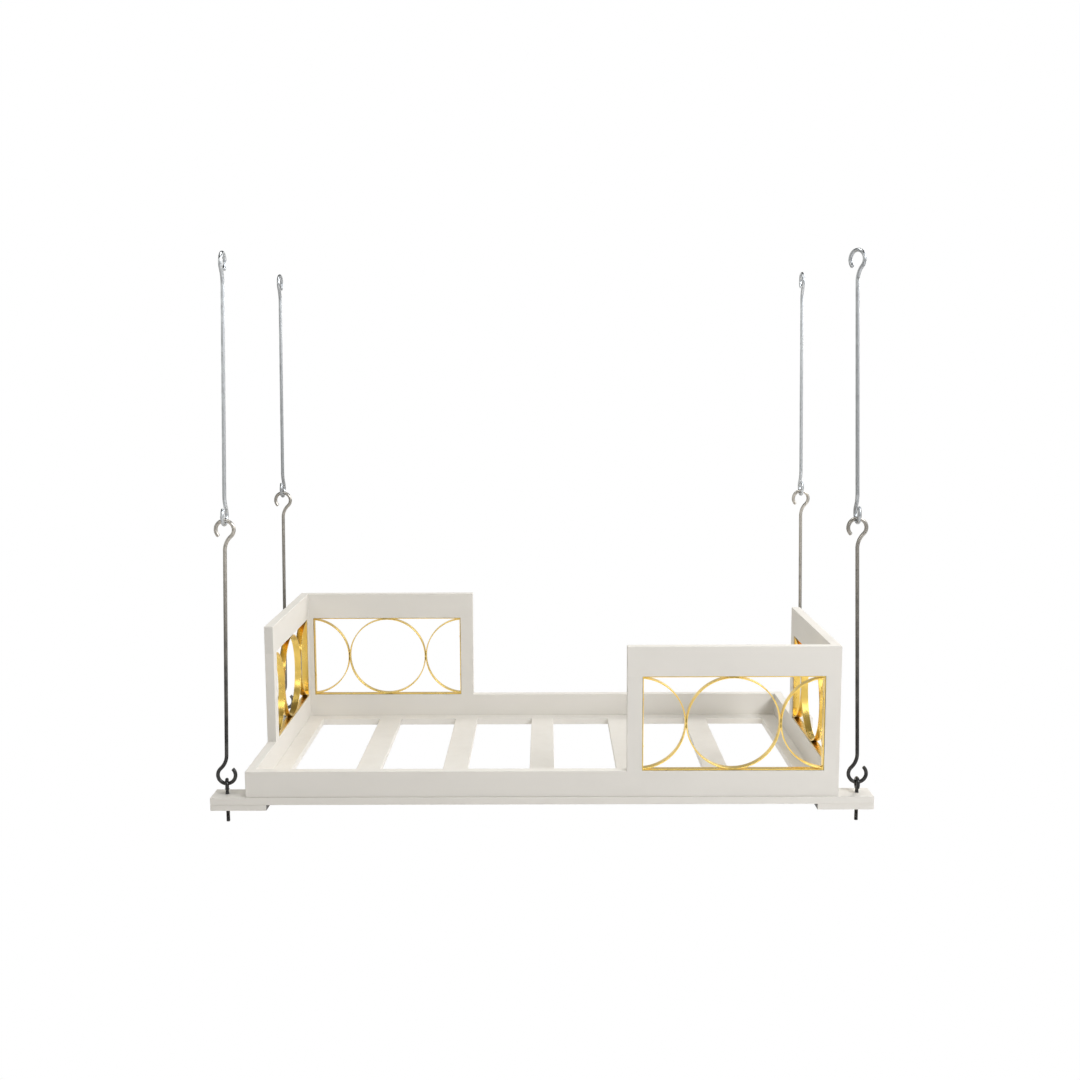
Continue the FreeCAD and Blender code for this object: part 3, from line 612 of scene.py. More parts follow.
def steel_wire(name, pale, dark, tint):
    """Drawn steel bar: mill scale and draw lines, blacking by its mark and temper colours by heat."""
    material, tree, shader = new_material(name)
    lay, place = tree.lay(), tree.place()
    cloud = tree.noise(place, 22.0, 5.0, 0.6)
    scale_spots = tree.span(tree.noise(place, 95.0, 4.0, 0.6), 0.55, 0.72)
    draw = tree.noise(tree.scaled(lay, (3.0, 900.0, 1.0)), 1.0, 3.0, 0.6)
    colour = tree.mix(tree.span(cloud, 0.3, 0.72), pale, shaded(pale, 0.8))
    colour = tree.mix(tree.math("MULTIPLY", scale_spots, 0.35), colour, dark)
    heat = tree.math("ADD", tree.mark("heat"), tree.math("MULTIPLY", tree.math("SUBTRACT", cloud, 0.5), 0.6))
    straw = tree.span(heat, 0.15, 0.5)
    brown = tree.span(heat, 0.5, 0.95)
    colour = tree.mix(tree.math("MULTIPLY", straw, 0.55), colour, tint)
    colour = tree.mix(tree.math("MULTIPLY", brown, 0.8), colour, shaded(tint, 0.55))
    black = tree.math("ADD", tree.mark("blacking"),
                      tree.math("MULTIPLY", tree.math("SUBTRACT", cloud, 0.5), 0.35), clamp=True)
    colour = tree.mix(black, colour, dark)
    rough = tree.math("ADD", tree.span(cloud, 0.3, 0.7, 0.26, 0.42), tree.math("MULTIPLY", scale_spots, 0.12))
    metal = tree.span(black, 0.5, 1.0, 1.0, 0.25)
    height = tree.math("ADD", draw, tree.math("MULTIPLY", scale_spots, 0.5))
    finish_material(tree, shader, {"Base Color": colour, "Roughness": rough, "Metallic": metal},
                    height, 0.05 * MM, 0.5)
    return material


@cache
def upper_rod_steel():
    return steel_wire("upper rod steel", (0.60, 0.63, 0.66, 1.0), (0.10, 0.10, 0.105, 1.0),
                      (0.55, 0.33, 0.17, 1.0))


@cache
def lower_rod_steel():
    return steel_wire("lower rod steel", (0.62, 0.59, 0.54, 1.0), (0.012, 0.0125, 0.013, 1.0),
                      (0.50, 0.40, 0.30, 1.0))


@cache
def black_steel():
    """Blacked eyebolts, washers and nuts, rubbed bright along their edges."""
    material, tree, shader = new_material("black steel")
    place = tree.place()
    cloud = tree.noise(place, 60.0, 5.0, 0.6)
    worn = tree.group(wear_group(), {"Vector": place, "Arris": tree.mark("arris"), "Scale": 120.0,
                                     "Amount": 0.6})["Mask"]
    colour = tree.mix(tree.span(cloud, 0.3, 0.7), (0.008, 0.008, 0.009, 1.0), (0.018, 0.018, 0.018, 1.0))
    colour = tree.mix(tree.math("MULTIPLY", worn, 0.6), colour, (0.30, 0.29, 0.28, 1.0))
    rough = tree.span(cloud, 0.3, 0.7, 0.18, 0.28)
    finish_material(tree, shader, {"Base Color": colour, "Roughness": rough, "Metallic": 0.15},
                    tree.noise(place, 700.0, 3.0), 0.06 * MM, 0.5)
    return material


@cache
def zinc_screw():
    """Yellow-white zinc on the screws under the base."""
    material, tree, shader = new_material("zinc screw")
    place = tree.place()
    cloud = tree.noise(place, 260.0, 4.0, 0.6)
    worn = tree.group(wear_group(), {"Vector": place, "Arris": tree.mark("arris"), "Scale": 300.0,
                                     "Amount": 0.6})["Mask"]
    colour = tree.mix(tree.span(cloud, 0.3, 0.7), (0.62, 0.57, 0.44, 1.0), (0.50, 0.50, 0.47, 1.0))
    colour = tree.mix(tree.math("MULTIPLY", worn, 0.5), colour, (0.75, 0.74, 0.72, 1.0))
    rough = tree.span(cloud, 0.3, 0.7, 0.25, 0.42)
    finish_material(tree, shader, {"Base Color": colour, "Roughness": rough, "Metallic": 1.0},
                    cloud, 0.03 * MM, 0.4)
    return material


@cache
def dowel_wood():
    """Beech dowels, fluted along their length by a fine ripple."""
    material, tree, shader = new_material("dowel beech")
    place = tree.place()
    flecks = tree.span(tree.noise(tree.scaled(place, (300.0, 300.0, 60.0)), 1.0, 4.0, 0.6), 0.45, 0.7)
    bands = tree.noise(tree.scaled(place, (90.0, 90.0, 14.0)), 1.0, 3.0)
    colour = tree.mix(bands, (0.56, 0.37, 0.22, 1.0), (0.66, 0.46, 0.29, 1.0))
    colour = tree.mix(tree.math("MULTIPLY", flecks, 0.5), colour, (0.40, 0.24, 0.13, 1.0))
    rough = tree.span(bands, 0.3, 0.7, 0.6, 0.72)
    finish_material(tree, shader, {"Base Color": colour, "Roughness": rough}, flecks, 0.1 * MM, 0.6)
    return material


# ---------------------------------------------------------------- sizes a user may change

class DaybedTimber(bpy.types.PropertyGroup):
    arris: FloatProperty(
        name="Eased edge", description="Radius of the sanded edges of the boards", default=1.5 * MM,
        min=0.2 * MM, max=4 * MM, unit="LENGTH")
    joint: FloatProperty(
        name="Joint edge", description="Radius left on edges that are glued flush to a neighbour",
        default=0.12 * MM, min=0.05 * MM, max=1 * MM, unit="LENGTH")
    paint: FloatVectorProperty(
        name="Paint", description="Colour of the satin paint", default=(0.74, 0.715, 0.665), size=3,
        min=0, max=1, subtype="COLOR")
    rubbed: FloatVectorProperty(
        name="Rubbed paint", description="Colour of the paint where hands have polished the edges",
        default=(0.80, 0.78, 0.735), size=3, min=0, max=1, subtype="COLOR")


class DaybedGilt(bpy.types.PropertyGroup):
    bar_arris: FloatProperty(
        name="Bar edge", description="Radius of the flat bar's edges", default=0.5 * MM,
        min=0.1 * MM, max=1.5 * MM, unit="LENGTH")
    weld_reach: FloatProperty(
        name="Weld reach", description="How far the weld fills the gap beside a touching point",
        default=11 * MM, min=2 * MM, max=20 * MM, unit="LENGTH")
    leaf: FloatProperty(
        name="Leaf square", description="Side of one square of gold leaf", default=80 * MM,
        min=20 * MM, max=150 * MM, unit="LENGTH")
    gold: FloatVectorProperty(
        name="Gold", description="Colour of the fresh leaf", default=(0.95, 0.70, 0.20), size=3,
        min=0, max=1, subtype="COLOR")
    deep_gold: FloatVectorProperty(
        name="Deep gold", description="Colour of the leaf where it is thin", default=(0.86, 0.58, 0.11),
        size=3, min=0, max=1, subtype="COLOR")
    # The ground colour also paints the weld soot and the painted shade where the bars meet and on the frame's
    # outer face.
    ground: FloatVectorProperty(
        name="Ground", description="Colour of the ground and of the weld soot under the leaf",
        default=(0.045, 0.016, 0.006), size=3, min=0, max=1, subtype="COLOR")


class DaybedSteel(bpy.types.PropertyGroup):
    wire: FloatProperty(
        name="Wire radius", description="Radius of the rods and eyebolts", default=6.35 * MM,
        min=3 * MM, max=10 * MM, unit="LENGTH")
    hook: FloatProperty(
        name="Hook radius", description="Radius of a hook's ring, at the middle of the wire",
        default=30 * MM, min=15 * MM, max=60 * MM, unit="LENGTH")
    bend: FloatProperty(
        name="Reverse bend", description="Radius of the bend between rod and ring", default=65 * MM,
        min=20 * MM, max=120 * MM, unit="LENGTH")
    hook_end: FloatProperty(
        name="Hook end", description="Angle at which a hook's wire ends", default=math.radians(228),
        min=math.radians(150), max=math.radians(300), unit="ROTATION")
    twist: FloatProperty(
        name="Top hook twist", description="Twist of the front right rod's top hook",
        default=math.radians(35), min=0, max=math.radians(90), unit="ROTATION")
    thread_pitch: FloatProperty(
        name="Thread pitch", description="Pitch of the eyebolts' thread", default=1.95 * MM,
        min=1 * MM, max=3 * MM, unit="LENGTH")
    eye_turn: FloatProperty(
        name="Eye turn", description="Turn of the front left eyebolt in its hole",
        default=math.radians(14), min=0, max=math.radians(90), unit="ROTATION")


class DaybedStudio(bpy.types.PropertyGroup):
    lens: FloatProperty(
        name="Lens", description="Focal length for a 36 mm wide film", default=42.33, min=10, max=200,
        unit="CAMERA")
    camera_place: FloatVectorProperty(
        name="Camera", description="Where the camera stands", default=(0.01894, -4.66932, 1.41409),
        size=3, subtype="TRANSLATION", unit="LENGTH")
    pitch: FloatProperty(
        name="Pitch", description="How far the camera looks down", default=math.radians(7.45),
        unit="ROTATION")
    yaw: FloatProperty(
        name="Yaw", description="How far the camera turns towards +X", default=math.radians(-0.29),
        unit="ROTATION")
    roll: FloatProperty(
        name="Roll", description="How far the camera leans", default=math.radians(-0.23),
        unit="ROTATION")
    floor_level: FloatProperty(
        name="Floor", description="Height of the floor below the hanging bed", default=-0.55,
        unit="LENGTH")
    key: FloatProperty(
        name="Key light", description="Power of the main soft light", default=418.0, min=0, unit="POWER")
    fill: FloatProperty(
        name="Fill light", description="Power of the light from the other side", default=50.0, min=0,
        unit="POWER")
    top: FloatProperty(
        name="Top light", description="Power of the overhead light", default=70.0, min=0, unit="POWER")
    back: FloatProperty(
        name="Back light", description="Power of the light behind the right corner", default=80.0, min=0,
        unit="POWER")


# ---------------------------------------------------------------- timber pieces

def timber_piece(name, low, high, grain, crisp_sides=(), crisp_ends=(), flush=()):
    """A painted board that stands for the CAD node of that name."""
    sizes = bpy.context.scene.daybed_timber
    shell = eased_board(low, high, "xyz".index(grain), sizes.arris, sizes.joint, crisp_sides, crisp_ends,
                        flush)
    return make_piece(f"{name}_painted", [shell], painted_timber(), "bed", name)


def countersink(x, y, level, radius, depth):
    """A straight recess for a screw head, open below the given level."""
    return turned_shell([(radius, -CUT_OVER), (radius, depth)], (x, y, level), segments=32)


SIDE_SCREWS, END_SCREWS = 6, 3
SIDE_SCREW_PITCH, END_SCREW_PITCH = 0.340, 0.300
SCREW_RECESS = (5.1 * MM, 4.1 * MM)
EYEBOLT_HOLE = 6.75 * MM
COUNTERBORE = (18 * MM, 10 * MM)


def side_screw_places(side):
    low, high = node_box(f"{side}_side_board")
    y = (low[1] + high[1]) / 2
    return [((step - (SIDE_SCREWS - 1) / 2) * SIDE_SCREW_PITCH, y) for step in range(SIDE_SCREWS)]


def end_screw_places(end):
    low, high = node_box(f"{end}_end_board")
    x = (low[0] + high[0]) / 2
    return [(x, (step - (END_SCREWS - 1) / 2) * END_SCREW_PITCH) for step in range(END_SCREWS)]


def eyebolt_place(side, end):
    low, high = node_box(f"{side}_{end}_eyebolt")
    return (low[:2] + high[:2]) / 2


def tray_half_width():
    """Half of the clear width between the two long base rails."""
    return node_box("back_base_rail")[0][1]


class DAYBED_OT_base_rails(bpy.types.Operator):
    """Base rails: the long ones run past the bed as outriggers, the short ones butt between them"""
    bl_idname = "daybed.base_rails"
    bl_label = "Base rails"

    def execute(self, context):
        for side in SIDES:
            low, high = node_box(f"{side}_base_rail")
            inner = "+y" if side == "front" else "-y"
            flush = []
            for end in ENDS:
                butt_low, butt_high = node_box(f"{end}_base_rail")
                flush.append((inner, -butt_high[0], -butt_low[0]))
            rail = timber_piece(f"{side}_base_rail", low, high, "x", flush=flush)
            holes = [countersink(x, y, low[2], *SCREW_RECESS) for x, y in side_screw_places(side)]
            for end in ENDS:
                x, y = eyebolt_place(side, end)
                bore = [(EYEBOLT_HOLE, -CUT_OVER), (EYEBOLT_HOLE, high[2] - low[2] + CUT_OVER)]
                holes.append(turned_shell(bore, (x, y, low[2])))
            cut_from(rail, holes)
        reach = tray_half_width()
        for end in ENDS:
            low, high = node_box(f"{end}_base_rail")
            low[1], high[1] = -reach, reach
            rail = timber_piece(f"{end}_base_rail", low, high, "y", crisp_ends=("-", "+"))
            cut_from(rail, [countersink(x, y, low[2], *SCREW_RECESS) for x, y in end_screw_places(end)])
        return {"FINISHED"}


class DAYBED_OT_hanger_blocks(bpy.types.Operator):
    """Hanger blocks: glued under the outriggers, bored for the eyebolts and their washers"""
    bl_idname = "daybed.hanger_blocks"
    bl_label = "Hanger blocks"

    def execute(self, context):
        for side, end in RODS:
            name = f"{side}_{end}_hanger_block"
            low, high = node_box(name)
            block = timber_piece(name, low, high, "x")
            x, y = eyebolt_place(side, end)
            wide, deep = COUNTERBORE
            hole = [(wide, -CUT_OVER), (wide, deep), (EYEBOLT_HOLE, deep),
                    (EYEBOLT_HOLE, high[2] - low[2] + CUT_OVER)]
            cut_from(block, [turned_shell(hole, (x, y, low[2]), segments=64)])
            # The inner end face is painted near black: painted shade, where that face stands in shadow.
            inner = low[0] if end == "right" else high[0]
            flat = np.empty(len(block.data.vertices) * 3)
            block.data.vertices.foreach_get("co", flat)
            near = np.abs(flat.reshape(-1, 3)[:, 0] - inner) < 0.3 * MM
            mark = block.data.attributes.new("bare_end", "FLOAT", "POINT")
            mark.data.foreach_set("value", near.astype(np.float32))
        return {"FINISHED"}


class DAYBED_OT_boards(bpy.types.Operator):
    """Side and end boards: the box that stands on the base rails"""
    bl_idname = "daybed.boards"
    bl_label = "Side and end boards"

    def execute(self, context):
        for side in SIDES:
            name = f"{side}_side_board"
            inner = "+y" if side == "front" else "-y"
            flush = []
            for part in ("corner_stile", "free_stile"):
                low, high = node_box(f"{side}_panel_{part}")
                flush.append(("+z", low[0], high[0]))
            for end in ENDS:
                low, high = node_box(f"{end}_end_board")
                flush.append((inner, low[0], high[0]))
            timber_piece(name, *node_box(name), "x", flush=flush)
        for end in ENDS:
            name = f"{end}_end_board"
            flush = []
            for part in ("corner_stile", "free_stile"):
                low, high = node_box(f"{end}_panel_{part}")
                flush.append(("+z", low[1], high[1]))
            timber_piece(name, *node_box(name), "y", crisp_ends=("-", "+"), flush=flush)
        return {"FINISHED"}


SLATS = 5


class DAYBED_OT_slats(bpy.types.Operator):
    """Slats: they butt between the long rails, level with their tops"""
    bl_idname = "daybed.slats"
    bl_label = "Slats"

    def execute(self, context):
        reach = tray_half_width()
        for number in range(1, SLATS + 1):
            low, high = node_box(f"slat_{number}")
            low[1], high[1] = -reach, reach
            timber_piece(f"slat_{number}", low, high, "y", crisp_ends=("-", "+"))
        return {"FINISHED"}


class DAYBED_OT_screens(bpy.types.Operator):
    """Corner screens: top rails and stiles, glued flush round each window"""
    bl_idname = "daybed.screens"
    bl_label = "Corner screens"

    def execute(self, context):
        for side, end in SCREENS:
            room = "-y" if side == "back" else "+y"
            butt = "+" if side == "back" else "-"
            joint = node_box(f"{end}_panel_top_rail")
            low, high = node_box(f"{side}_panel_top_rail")
            timber_piece(f"{side}_panel_top_rail", low, high, "x", ("-z",), flush=[
                (room, joint[0][0], joint[1][0])])
            timber_piece(f"{end}_panel_top_rail", *joint, "y", ("-z",), (butt,))
            for panel in (side, end):
                axis = PANELS[panel]
                for place in ("corner", "free"):
                    stile = f"{panel}_panel_{place}_stile"
                    low, high = node_box(stile)
                    window = sum(node_box(f"{panel}_grille_frame"))[axis] / 2
                    before = (low + high)[axis] / 2 < window
                    crisp = [("+" if before else "-") + AXES[axis]]
                    if panel == end and place == "corner":
                        crisp.append(("-" if before else "+") + AXES[axis])
                    timber_piece(stile, low, high, "z", crisp, ("-", "+"))
        return {"FINISHED"}


# ---------------------------------------------------------------- grilles

GRILLE_GAP = 0.2 * MM
FRAME_STEPS = 12
RING_STEPS = 144
# How far each ring's leaf pattern starts along the layout, so that no two bars are alike.
RING_OFFSET, PART_RING_OFFSET = 0.3, 0.7
# The weld stops short of the bars' two edges, so that their arrises show.
WELD_SHY = 0.6 * MM


def grille_layout(panel):
    """A grille's axis, centre, half width, half height, bar thickness, bar width and ring radius."""
    axis = PANELS[panel]
    low, high = node_box(f"{panel}_grille_frame")
    ring_low, ring_high = node_box(f"{panel}_grille_ring")
    centre = (low + high) / 2
    half = (high - low) / 2
    ring = (ring_high[2] - ring_low[2]) / 2
    return axis, centre, half[axis], half[2], half[2] - ring, 2 * half[1 - axis], ring


def mitred_path(half_width, half_height):
    """Points round a rectangle, and at each the way in: square to a side, or the mitre's at a corner."""
    path, inward = [], []
    steps = np.linspace(0, 1, FRAME_STEPS, endpoint=False)[:, None]
    for corner, nearby in zip(CORNER_SIGNS, np.roll(CORNER_SIGNS, -1, 0)):
        square = -(corner + nearby) / 2 * np.ones((FRAME_STEPS, 1))
        square[0] = -corner
        path.append((corner + (nearby - corner) * steps) * (half_width, half_height))
        inward.append(square)
    return np.concatenate(path), np.concatenate(inward)


def soot_and_shade_round(places, reach, spread):
    """A mask that is dark just beside each touching point, on both sides of it: weld soot and painted shade in the
    crease.
    """
    def mask(points):
        total = np.zeros(points.shape[:-1])
        for place in places:
            away = np.linalg.norm(points - place, axis=-1)
            total = np.maximum(total, np.exp(-(((away - reach) / spread) ** 2)))
        return total
    return mask


def weld_fill(touch, along, across, depth_axis, length, curves, width):
    """Weld that fills the gap at a touching point, ground flush with the bars.

    At s along the touching line the two faces stand at s^2 / 2R to each side of it, so the fill
    runs from one to the other, a little way into each bar.
    """
    s = np.linspace(-length, length, 17)
    bite = 0.35 * MM
    faces = [-(bite + s ** 2 * curves[0] / 2), bite + s ** 2 * curves[1] / 2]
    depth = np.eye(3)[depth_axis]
    half = width / 2
    ring = [(0, -half), (0, 0.0), (0, half), (1, half), (1, 0.0), (1, -half)]
    points = np.stack([np.asarray(touch) + s[:, None] * along + faces[face][:, None] * across + reach * depth
                       for face, reach in ring], 1)
    girth = np.array([0, half, width, width, width + half, 2 * width, 2 * width])
    uv = np.stack(np.broadcast_arrays(s[:, None], girth[None]), -1)
    return grid_shell(points, uv, {"arris": 0.0, "soot": 0.0})


class DAYBED_OT_grilles(bpy.types.Operator):
    """Grilles: a mitred frame of flat bar, a full ring and a pair of part rings, leafed in gold"""
    bl_idname = "daybed.grilles"
    bl_label = "Gilt grilles"

    def execute(self, context):
        sizes = context.scene.daybed_gilt
        for panel in PANELS:
            axis, centre, half_width, half_height, bar, width, ring = grille_layout(panel)
            depth_axis = 1 - axis
            section = bar_section(bar, width, sizes.bar_arris)
            across, up = np.eye(3)[axis], np.eye(3)[2]
            touches = {
                "top": centre + up * ring, "foot": centre - up * ring,
                "low": centre - across * ring, "high": centre + across * ring,
            }
            # Weld soot and painted shade just beside each touching point.
            soot = soot_and_shade_round(touches.values(), sizes.weld_reach * 1.45, 4 * MM)

            path, inward = mitred_path(half_width, half_height)
            frame_shell = swept_bar(in_plane(axis, centre, path[:, 0], path[:, 1]),
                                    in_plane(axis, np.zeros(3), inward[:, 0], inward[:, 1]),
                                    depth_axis, section, soot, 1, painted_shade_outside=True)
            make_piece(f"{panel}_grille_frame_gilt", [frame_shell], gilt_bar(), "bed",
                       f"{panel}_grille_frame")

            angle = np.linspace(0, 2 * math.pi, RING_STEPS, endpoint=False)
            round_path = in_plane(axis, centre, ring * np.cos(angle), ring * np.sin(angle))
            round_in = in_plane(axis, np.zeros(3), -np.cos(angle), -np.sin(angle))
            shells = [swept_bar(round_path, round_in, depth_axis, section, soot, 0, offset=RING_OFFSET)]
            for key in ("top", "foot"):
                outward = up if key == "top" else -up
                shells.append(weld_fill(touches[key], across, outward, depth_axis, sizes.weld_reach,
                                        (1 / ring, 0.0), width - WELD_SHY))
            make_piece(f"{panel}_grille_ring_gilt", shells, gilt_bar(), "bed",
                       f"{panel}_grille_ring")

            shells = []
            for sign in (-1, 1):
                shells.append(part_ring(axis, centre, sign, ring, half_width - bar, section, soot))
                touch = touches["high" if sign > 0 else "low"]
                shells.append(weld_fill(touch, up, across * sign, depth_axis, sizes.weld_reach,
                                        (1 / ring, 1 / ring), width - WELD_SHY))
            make_piece(f"{panel}_grille_half_rings_gilt", shells, gilt_bar(), "bed",
                       f"{panel}_grille_half_rings")
        return {"FINISHED"}


def part_ring(axis, centre, sign, ring, reach, section, soot):
    """A part ring that touches the full ring and runs into the side bar.

    Its centre is 2R to one side. At radius r the side bar's face cuts it at the angle whose
    cosine is (2R - reach) / r, so each point's angle is t times that angle, with t from -1 to 1.
    """
    profile, worn, girth = section
    depth_axis = 1 - axis
    radius = ring - profile[:, 0]
    last = np.arccos(np.clip((2 * ring - reach) / radius, -1, 1))
    t = np.linspace(-1, 1, 97)[:, None]
    angle = t * last[None]
    across = sign * (2 * ring - radius * np.cos(angle))
    points = in_plane(axis, centre, across, radius * np.sin(angle))
    points[..., depth_axis] += profile[None, :, 1]
    along = t * float(last.mean()) * ring
    uv = np.stack(np.broadcast_arrays(along + PART_RING_OFFSET, girth[None]), -1)
    return grid_shell(points, uv, {"arris": worn[None], "soot": soot(points) * facing(profile, 0)})


# ---------------------------------------------------------------- screws and dowels

def cross_recess(arm, reach):
    """How far a cross-shaped recess reaches at each angle: the farther of its two bars' edges."""
    def outline(angle):
        c, s = np.maximum(np.abs(np.cos(angle)), 1e-6), np.maximum(np.abs(np.sin(angle)), 1e-6)
        flat = np.minimum(arm / s, reach / c)
        tall = np.minimum(arm / c, reach / s)
        return np.maximum(flat, tall)
    return outline


def screw_shell(place, up, head_rows, arm, reach, depth, top, shank_radius, shank_length):
    """A screw: a cross recess in its head, the head's rows outwards, then the shank to its point."""
    recess = cross_recess(arm, reach)
    rows = [(0.05 * MM, top - depth), (1.0, top - depth * 0.85), (1.0, top)] + head_rows
    rows += [(shank_radius, -0.3 * MM), (shank_radius, -shank_length + 3 * MM), (0.1 * MM, -shank_length)]

    def shape(radius, height, angle):
        edge = recess(angle)
        radius[1] = edge * 0.8
        radius[2] = edge
        return radius, height

    marks = {"arris": np.array([0, 0, 1] + [0.4] * len(head_rows) + [0, 0, 0])[:, None]}
    return turned_shell(rows, place, up, 64, shape, marks)


# A screw's recess (arm, reach and depth), the top of its head, and its shank's radius and length.
PAN_SCREW = (0.55 * MM, 1.9 * MM, 1.3 * MM, 1.95 * MM, 2 * MM, 22 * MM)
FLAT_SCREW = (0.6 * MM, 2.3 * MM, 2.4 * MM, 0.0, 2.5 * MM, 62 * MM)
# The rows of a countersunk head, from its rim down to its neck.
FLAT_HEAD = [(4.9 * MM, -0.02 * MM), (5.0 * MM, -0.15 * MM), (2.6 * MM, -3.9 * MM)]


def pan_head():
    """The rows of a pan head: a quarter of an ellipse, 4 mm by 1.3 mm, on a low drum."""
    turn = np.linspace(0, math.pi / 2, 7)[1:]
    dome = [(4 * MM * math.sin(a * 0.96 + 0.05), 0.7 * MM + 1.3 * MM * math.cos(a)) for a in turn]
    return dome + [(3.9 * MM, -0.05 * MM)]


class DAYBED_OT_grille_screws(bpy.types.Operator):
    """Pan-head screws that hold each grille to its stiles, through the side bars"""
    bl_idname = "daybed.grille_screws"
    bl_label = "Grille screws"

    def execute(self, context):
        shells = []
        for panel in PANELS:
            axis, centre, half_width, half_height, bar = grille_layout(panel)[:5]
            window = 2 * (half_height + GRILLE_GAP)
            for sign in (-1, 1):
                for level in (-0.25, 0.25):
                    face = centre + np.eye(3)[axis] * sign * (half_width - bar)
                    face[2] += level * window
                    shells.append(screw_shell(face, -sign * np.eye(3)[axis], pan_head(), *PAN_SCREW))
        make_piece("grille_screws_gilt", shells, gilt_screw(), "bed", "grille_screws")
        return {"FINISHED"}


class DAYBED_OT_fixings(bpy.types.Operator):
    """Countersunk screws up through the base rails, and the dowels inside the joints"""
    bl_idname = "daybed.fixings"
    bl_label = "Frame screws and dowels"

    def execute(self, context):
        level = node_box("front_base_rail")[0][2]
        places = [place for side in SIDES for place in side_screw_places(side)]
        places += [place for end in ENDS for place in end_screw_places(end)]
        shells = [screw_shell((x, y, level), (0, 0, -1), FLAT_HEAD, *FLAT_SCREW) for x, y in places]
        make_piece("frame_screws_zinc", shells, zinc_screw(), "bed", "frame_screws")
        dowels = frame["nodes"]["dowels"]
        for slot in dowels.material_slots:
            slot.material = dowel_wood()
        return {"FINISHED"}


# ---------------------------------------------------------------- hanging rods

def joint_place(name):
    """A joint's point at rest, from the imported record."""
    for joint in frame["joints"]:
        if joint["name"] == name:
            return np.array(joint["pos_m"], float)
    raise RuntimeError(f"no joint named {name}")


def mount_place(name):
    for mount in frame["record"]["mounts"]:
        if mount["name"] == name:
            return np.array(mount["pos_m"], float)
    raise RuntimeError(f"no mount named {name}")


def hooked_path(span, sizes, low_turn, high_turn):
    """A rod with a hook at each end, in its own frame with the rod along Z.

    Each hook is a ring of radius R that meets the rod's line through a reverse bend of radius B.
    The arcs are tangent, so the bend turns by the angle whose cosine is B / (B + R), and the
    ring's centre is sqrt((B + R)^2 - B^2) past the start of the bend. The hooks lie in upright
    planes that are turned about the rod, and the straight part's side vector turns between them.
    """
    ring, bend = sizes.hook, sizes.bend
    beta = math.acos(bend / (bend + ring))
    drop = math.sqrt((bend + ring) ** 2 - bend ** 2)
    near_tip = np.array([0, 0.1, 0.25, 0.45, 0.7, 1.0]) * WIRE_TIP / ring
    turn = np.concatenate([sizes.hook_end - near_tip, np.linspace(sizes.hook_end - 0.12, -beta, 84)])
    hook = np.stack([ring * np.cos(turn), 0 * turn, span + ring * np.sin(turn)], -1)
    swing = np.linspace(math.pi - beta, math.pi, 18)[1:]
    curve = np.stack([bend + bend * np.cos(swing), 0 * swing, span - drop + bend * np.sin(swing)], -1)
    top = np.concatenate([hook, curve])
    foot = top * (-1, 1, -1) + (0, 0, span)
    straight = np.linspace(span - drop, drop, 42)[1:-1]
    rod = np.stack([0 * straight, 0 * straight, straight], -1)
    share = (straight - drop) / (span - 2 * drop)

    def spin(points, angle):
        c, s = np.cos(angle), np.sin(angle)
        return np.stack([points[:, 0] * c - points[:, 1] * s, points[:, 0] * s + points[:, 1] * c,
                         points[:, 2]], -1)

    turns = np.concatenate([np.full(len(top), high_turn), low_turn + (high_turn - low_turn) * share,
                            np.full(len(foot), low_turn)])
    path = spin(np.concatenate([top, rod, foot[::-1]]), turns)
    square = spin(np.tile([0.0, 1.0, 0.0], (len(path), 1)), turns)
    curl = np.concatenate([np.ones(len(hook)), np.linspace(1, 0, len(curve)), 0 * straight,
                           np.linspace(0, 1, len(curve)), np.ones(len(hook))])
    height = path[:, 2] / span
    return path, square, curl, height


def lean_onto(points, foot, axis):
    """Turns points about Y so that their Z lies on the axis, and moves them to the foot."""
    angle = math.atan2(axis[0], axis[2])
    c, s = math.cos(angle), math.sin(angle)
    turned = np.stack([points[:, 0] * c + points[:, 2] * s, points[:, 1],
                       -points[:, 0] * s + points[:, 2] * c], -1)
    return turned + foot


LINK_GAP = 0.3 * MM
WIRE_TIP = 2.2 * MM

# For each rod: how dark the wire is at the foot and the head, and how strongly its hooks are
# tempered by the heat of bending.
LOWER_FINISH = {
    ("front", "left"): (0.97, 0.10, 0.35), ("front", "right"): (0.98, 0.40, 0.5),
    ("back", "left"): (0.75, 0.30, 0.35), ("back", "right"): (0.55, 0.05, 0.1),
}
UPPER_FINISH = {
    ("front", "left"): (0.05, 0.0, 0.4), ("front", "right"): (0.30, 0.25, 0.95),
    ("back", "left"): (0.35, 0.2, 0.3), ("back", "right"): (0.0, 0.0, 0.1),
}


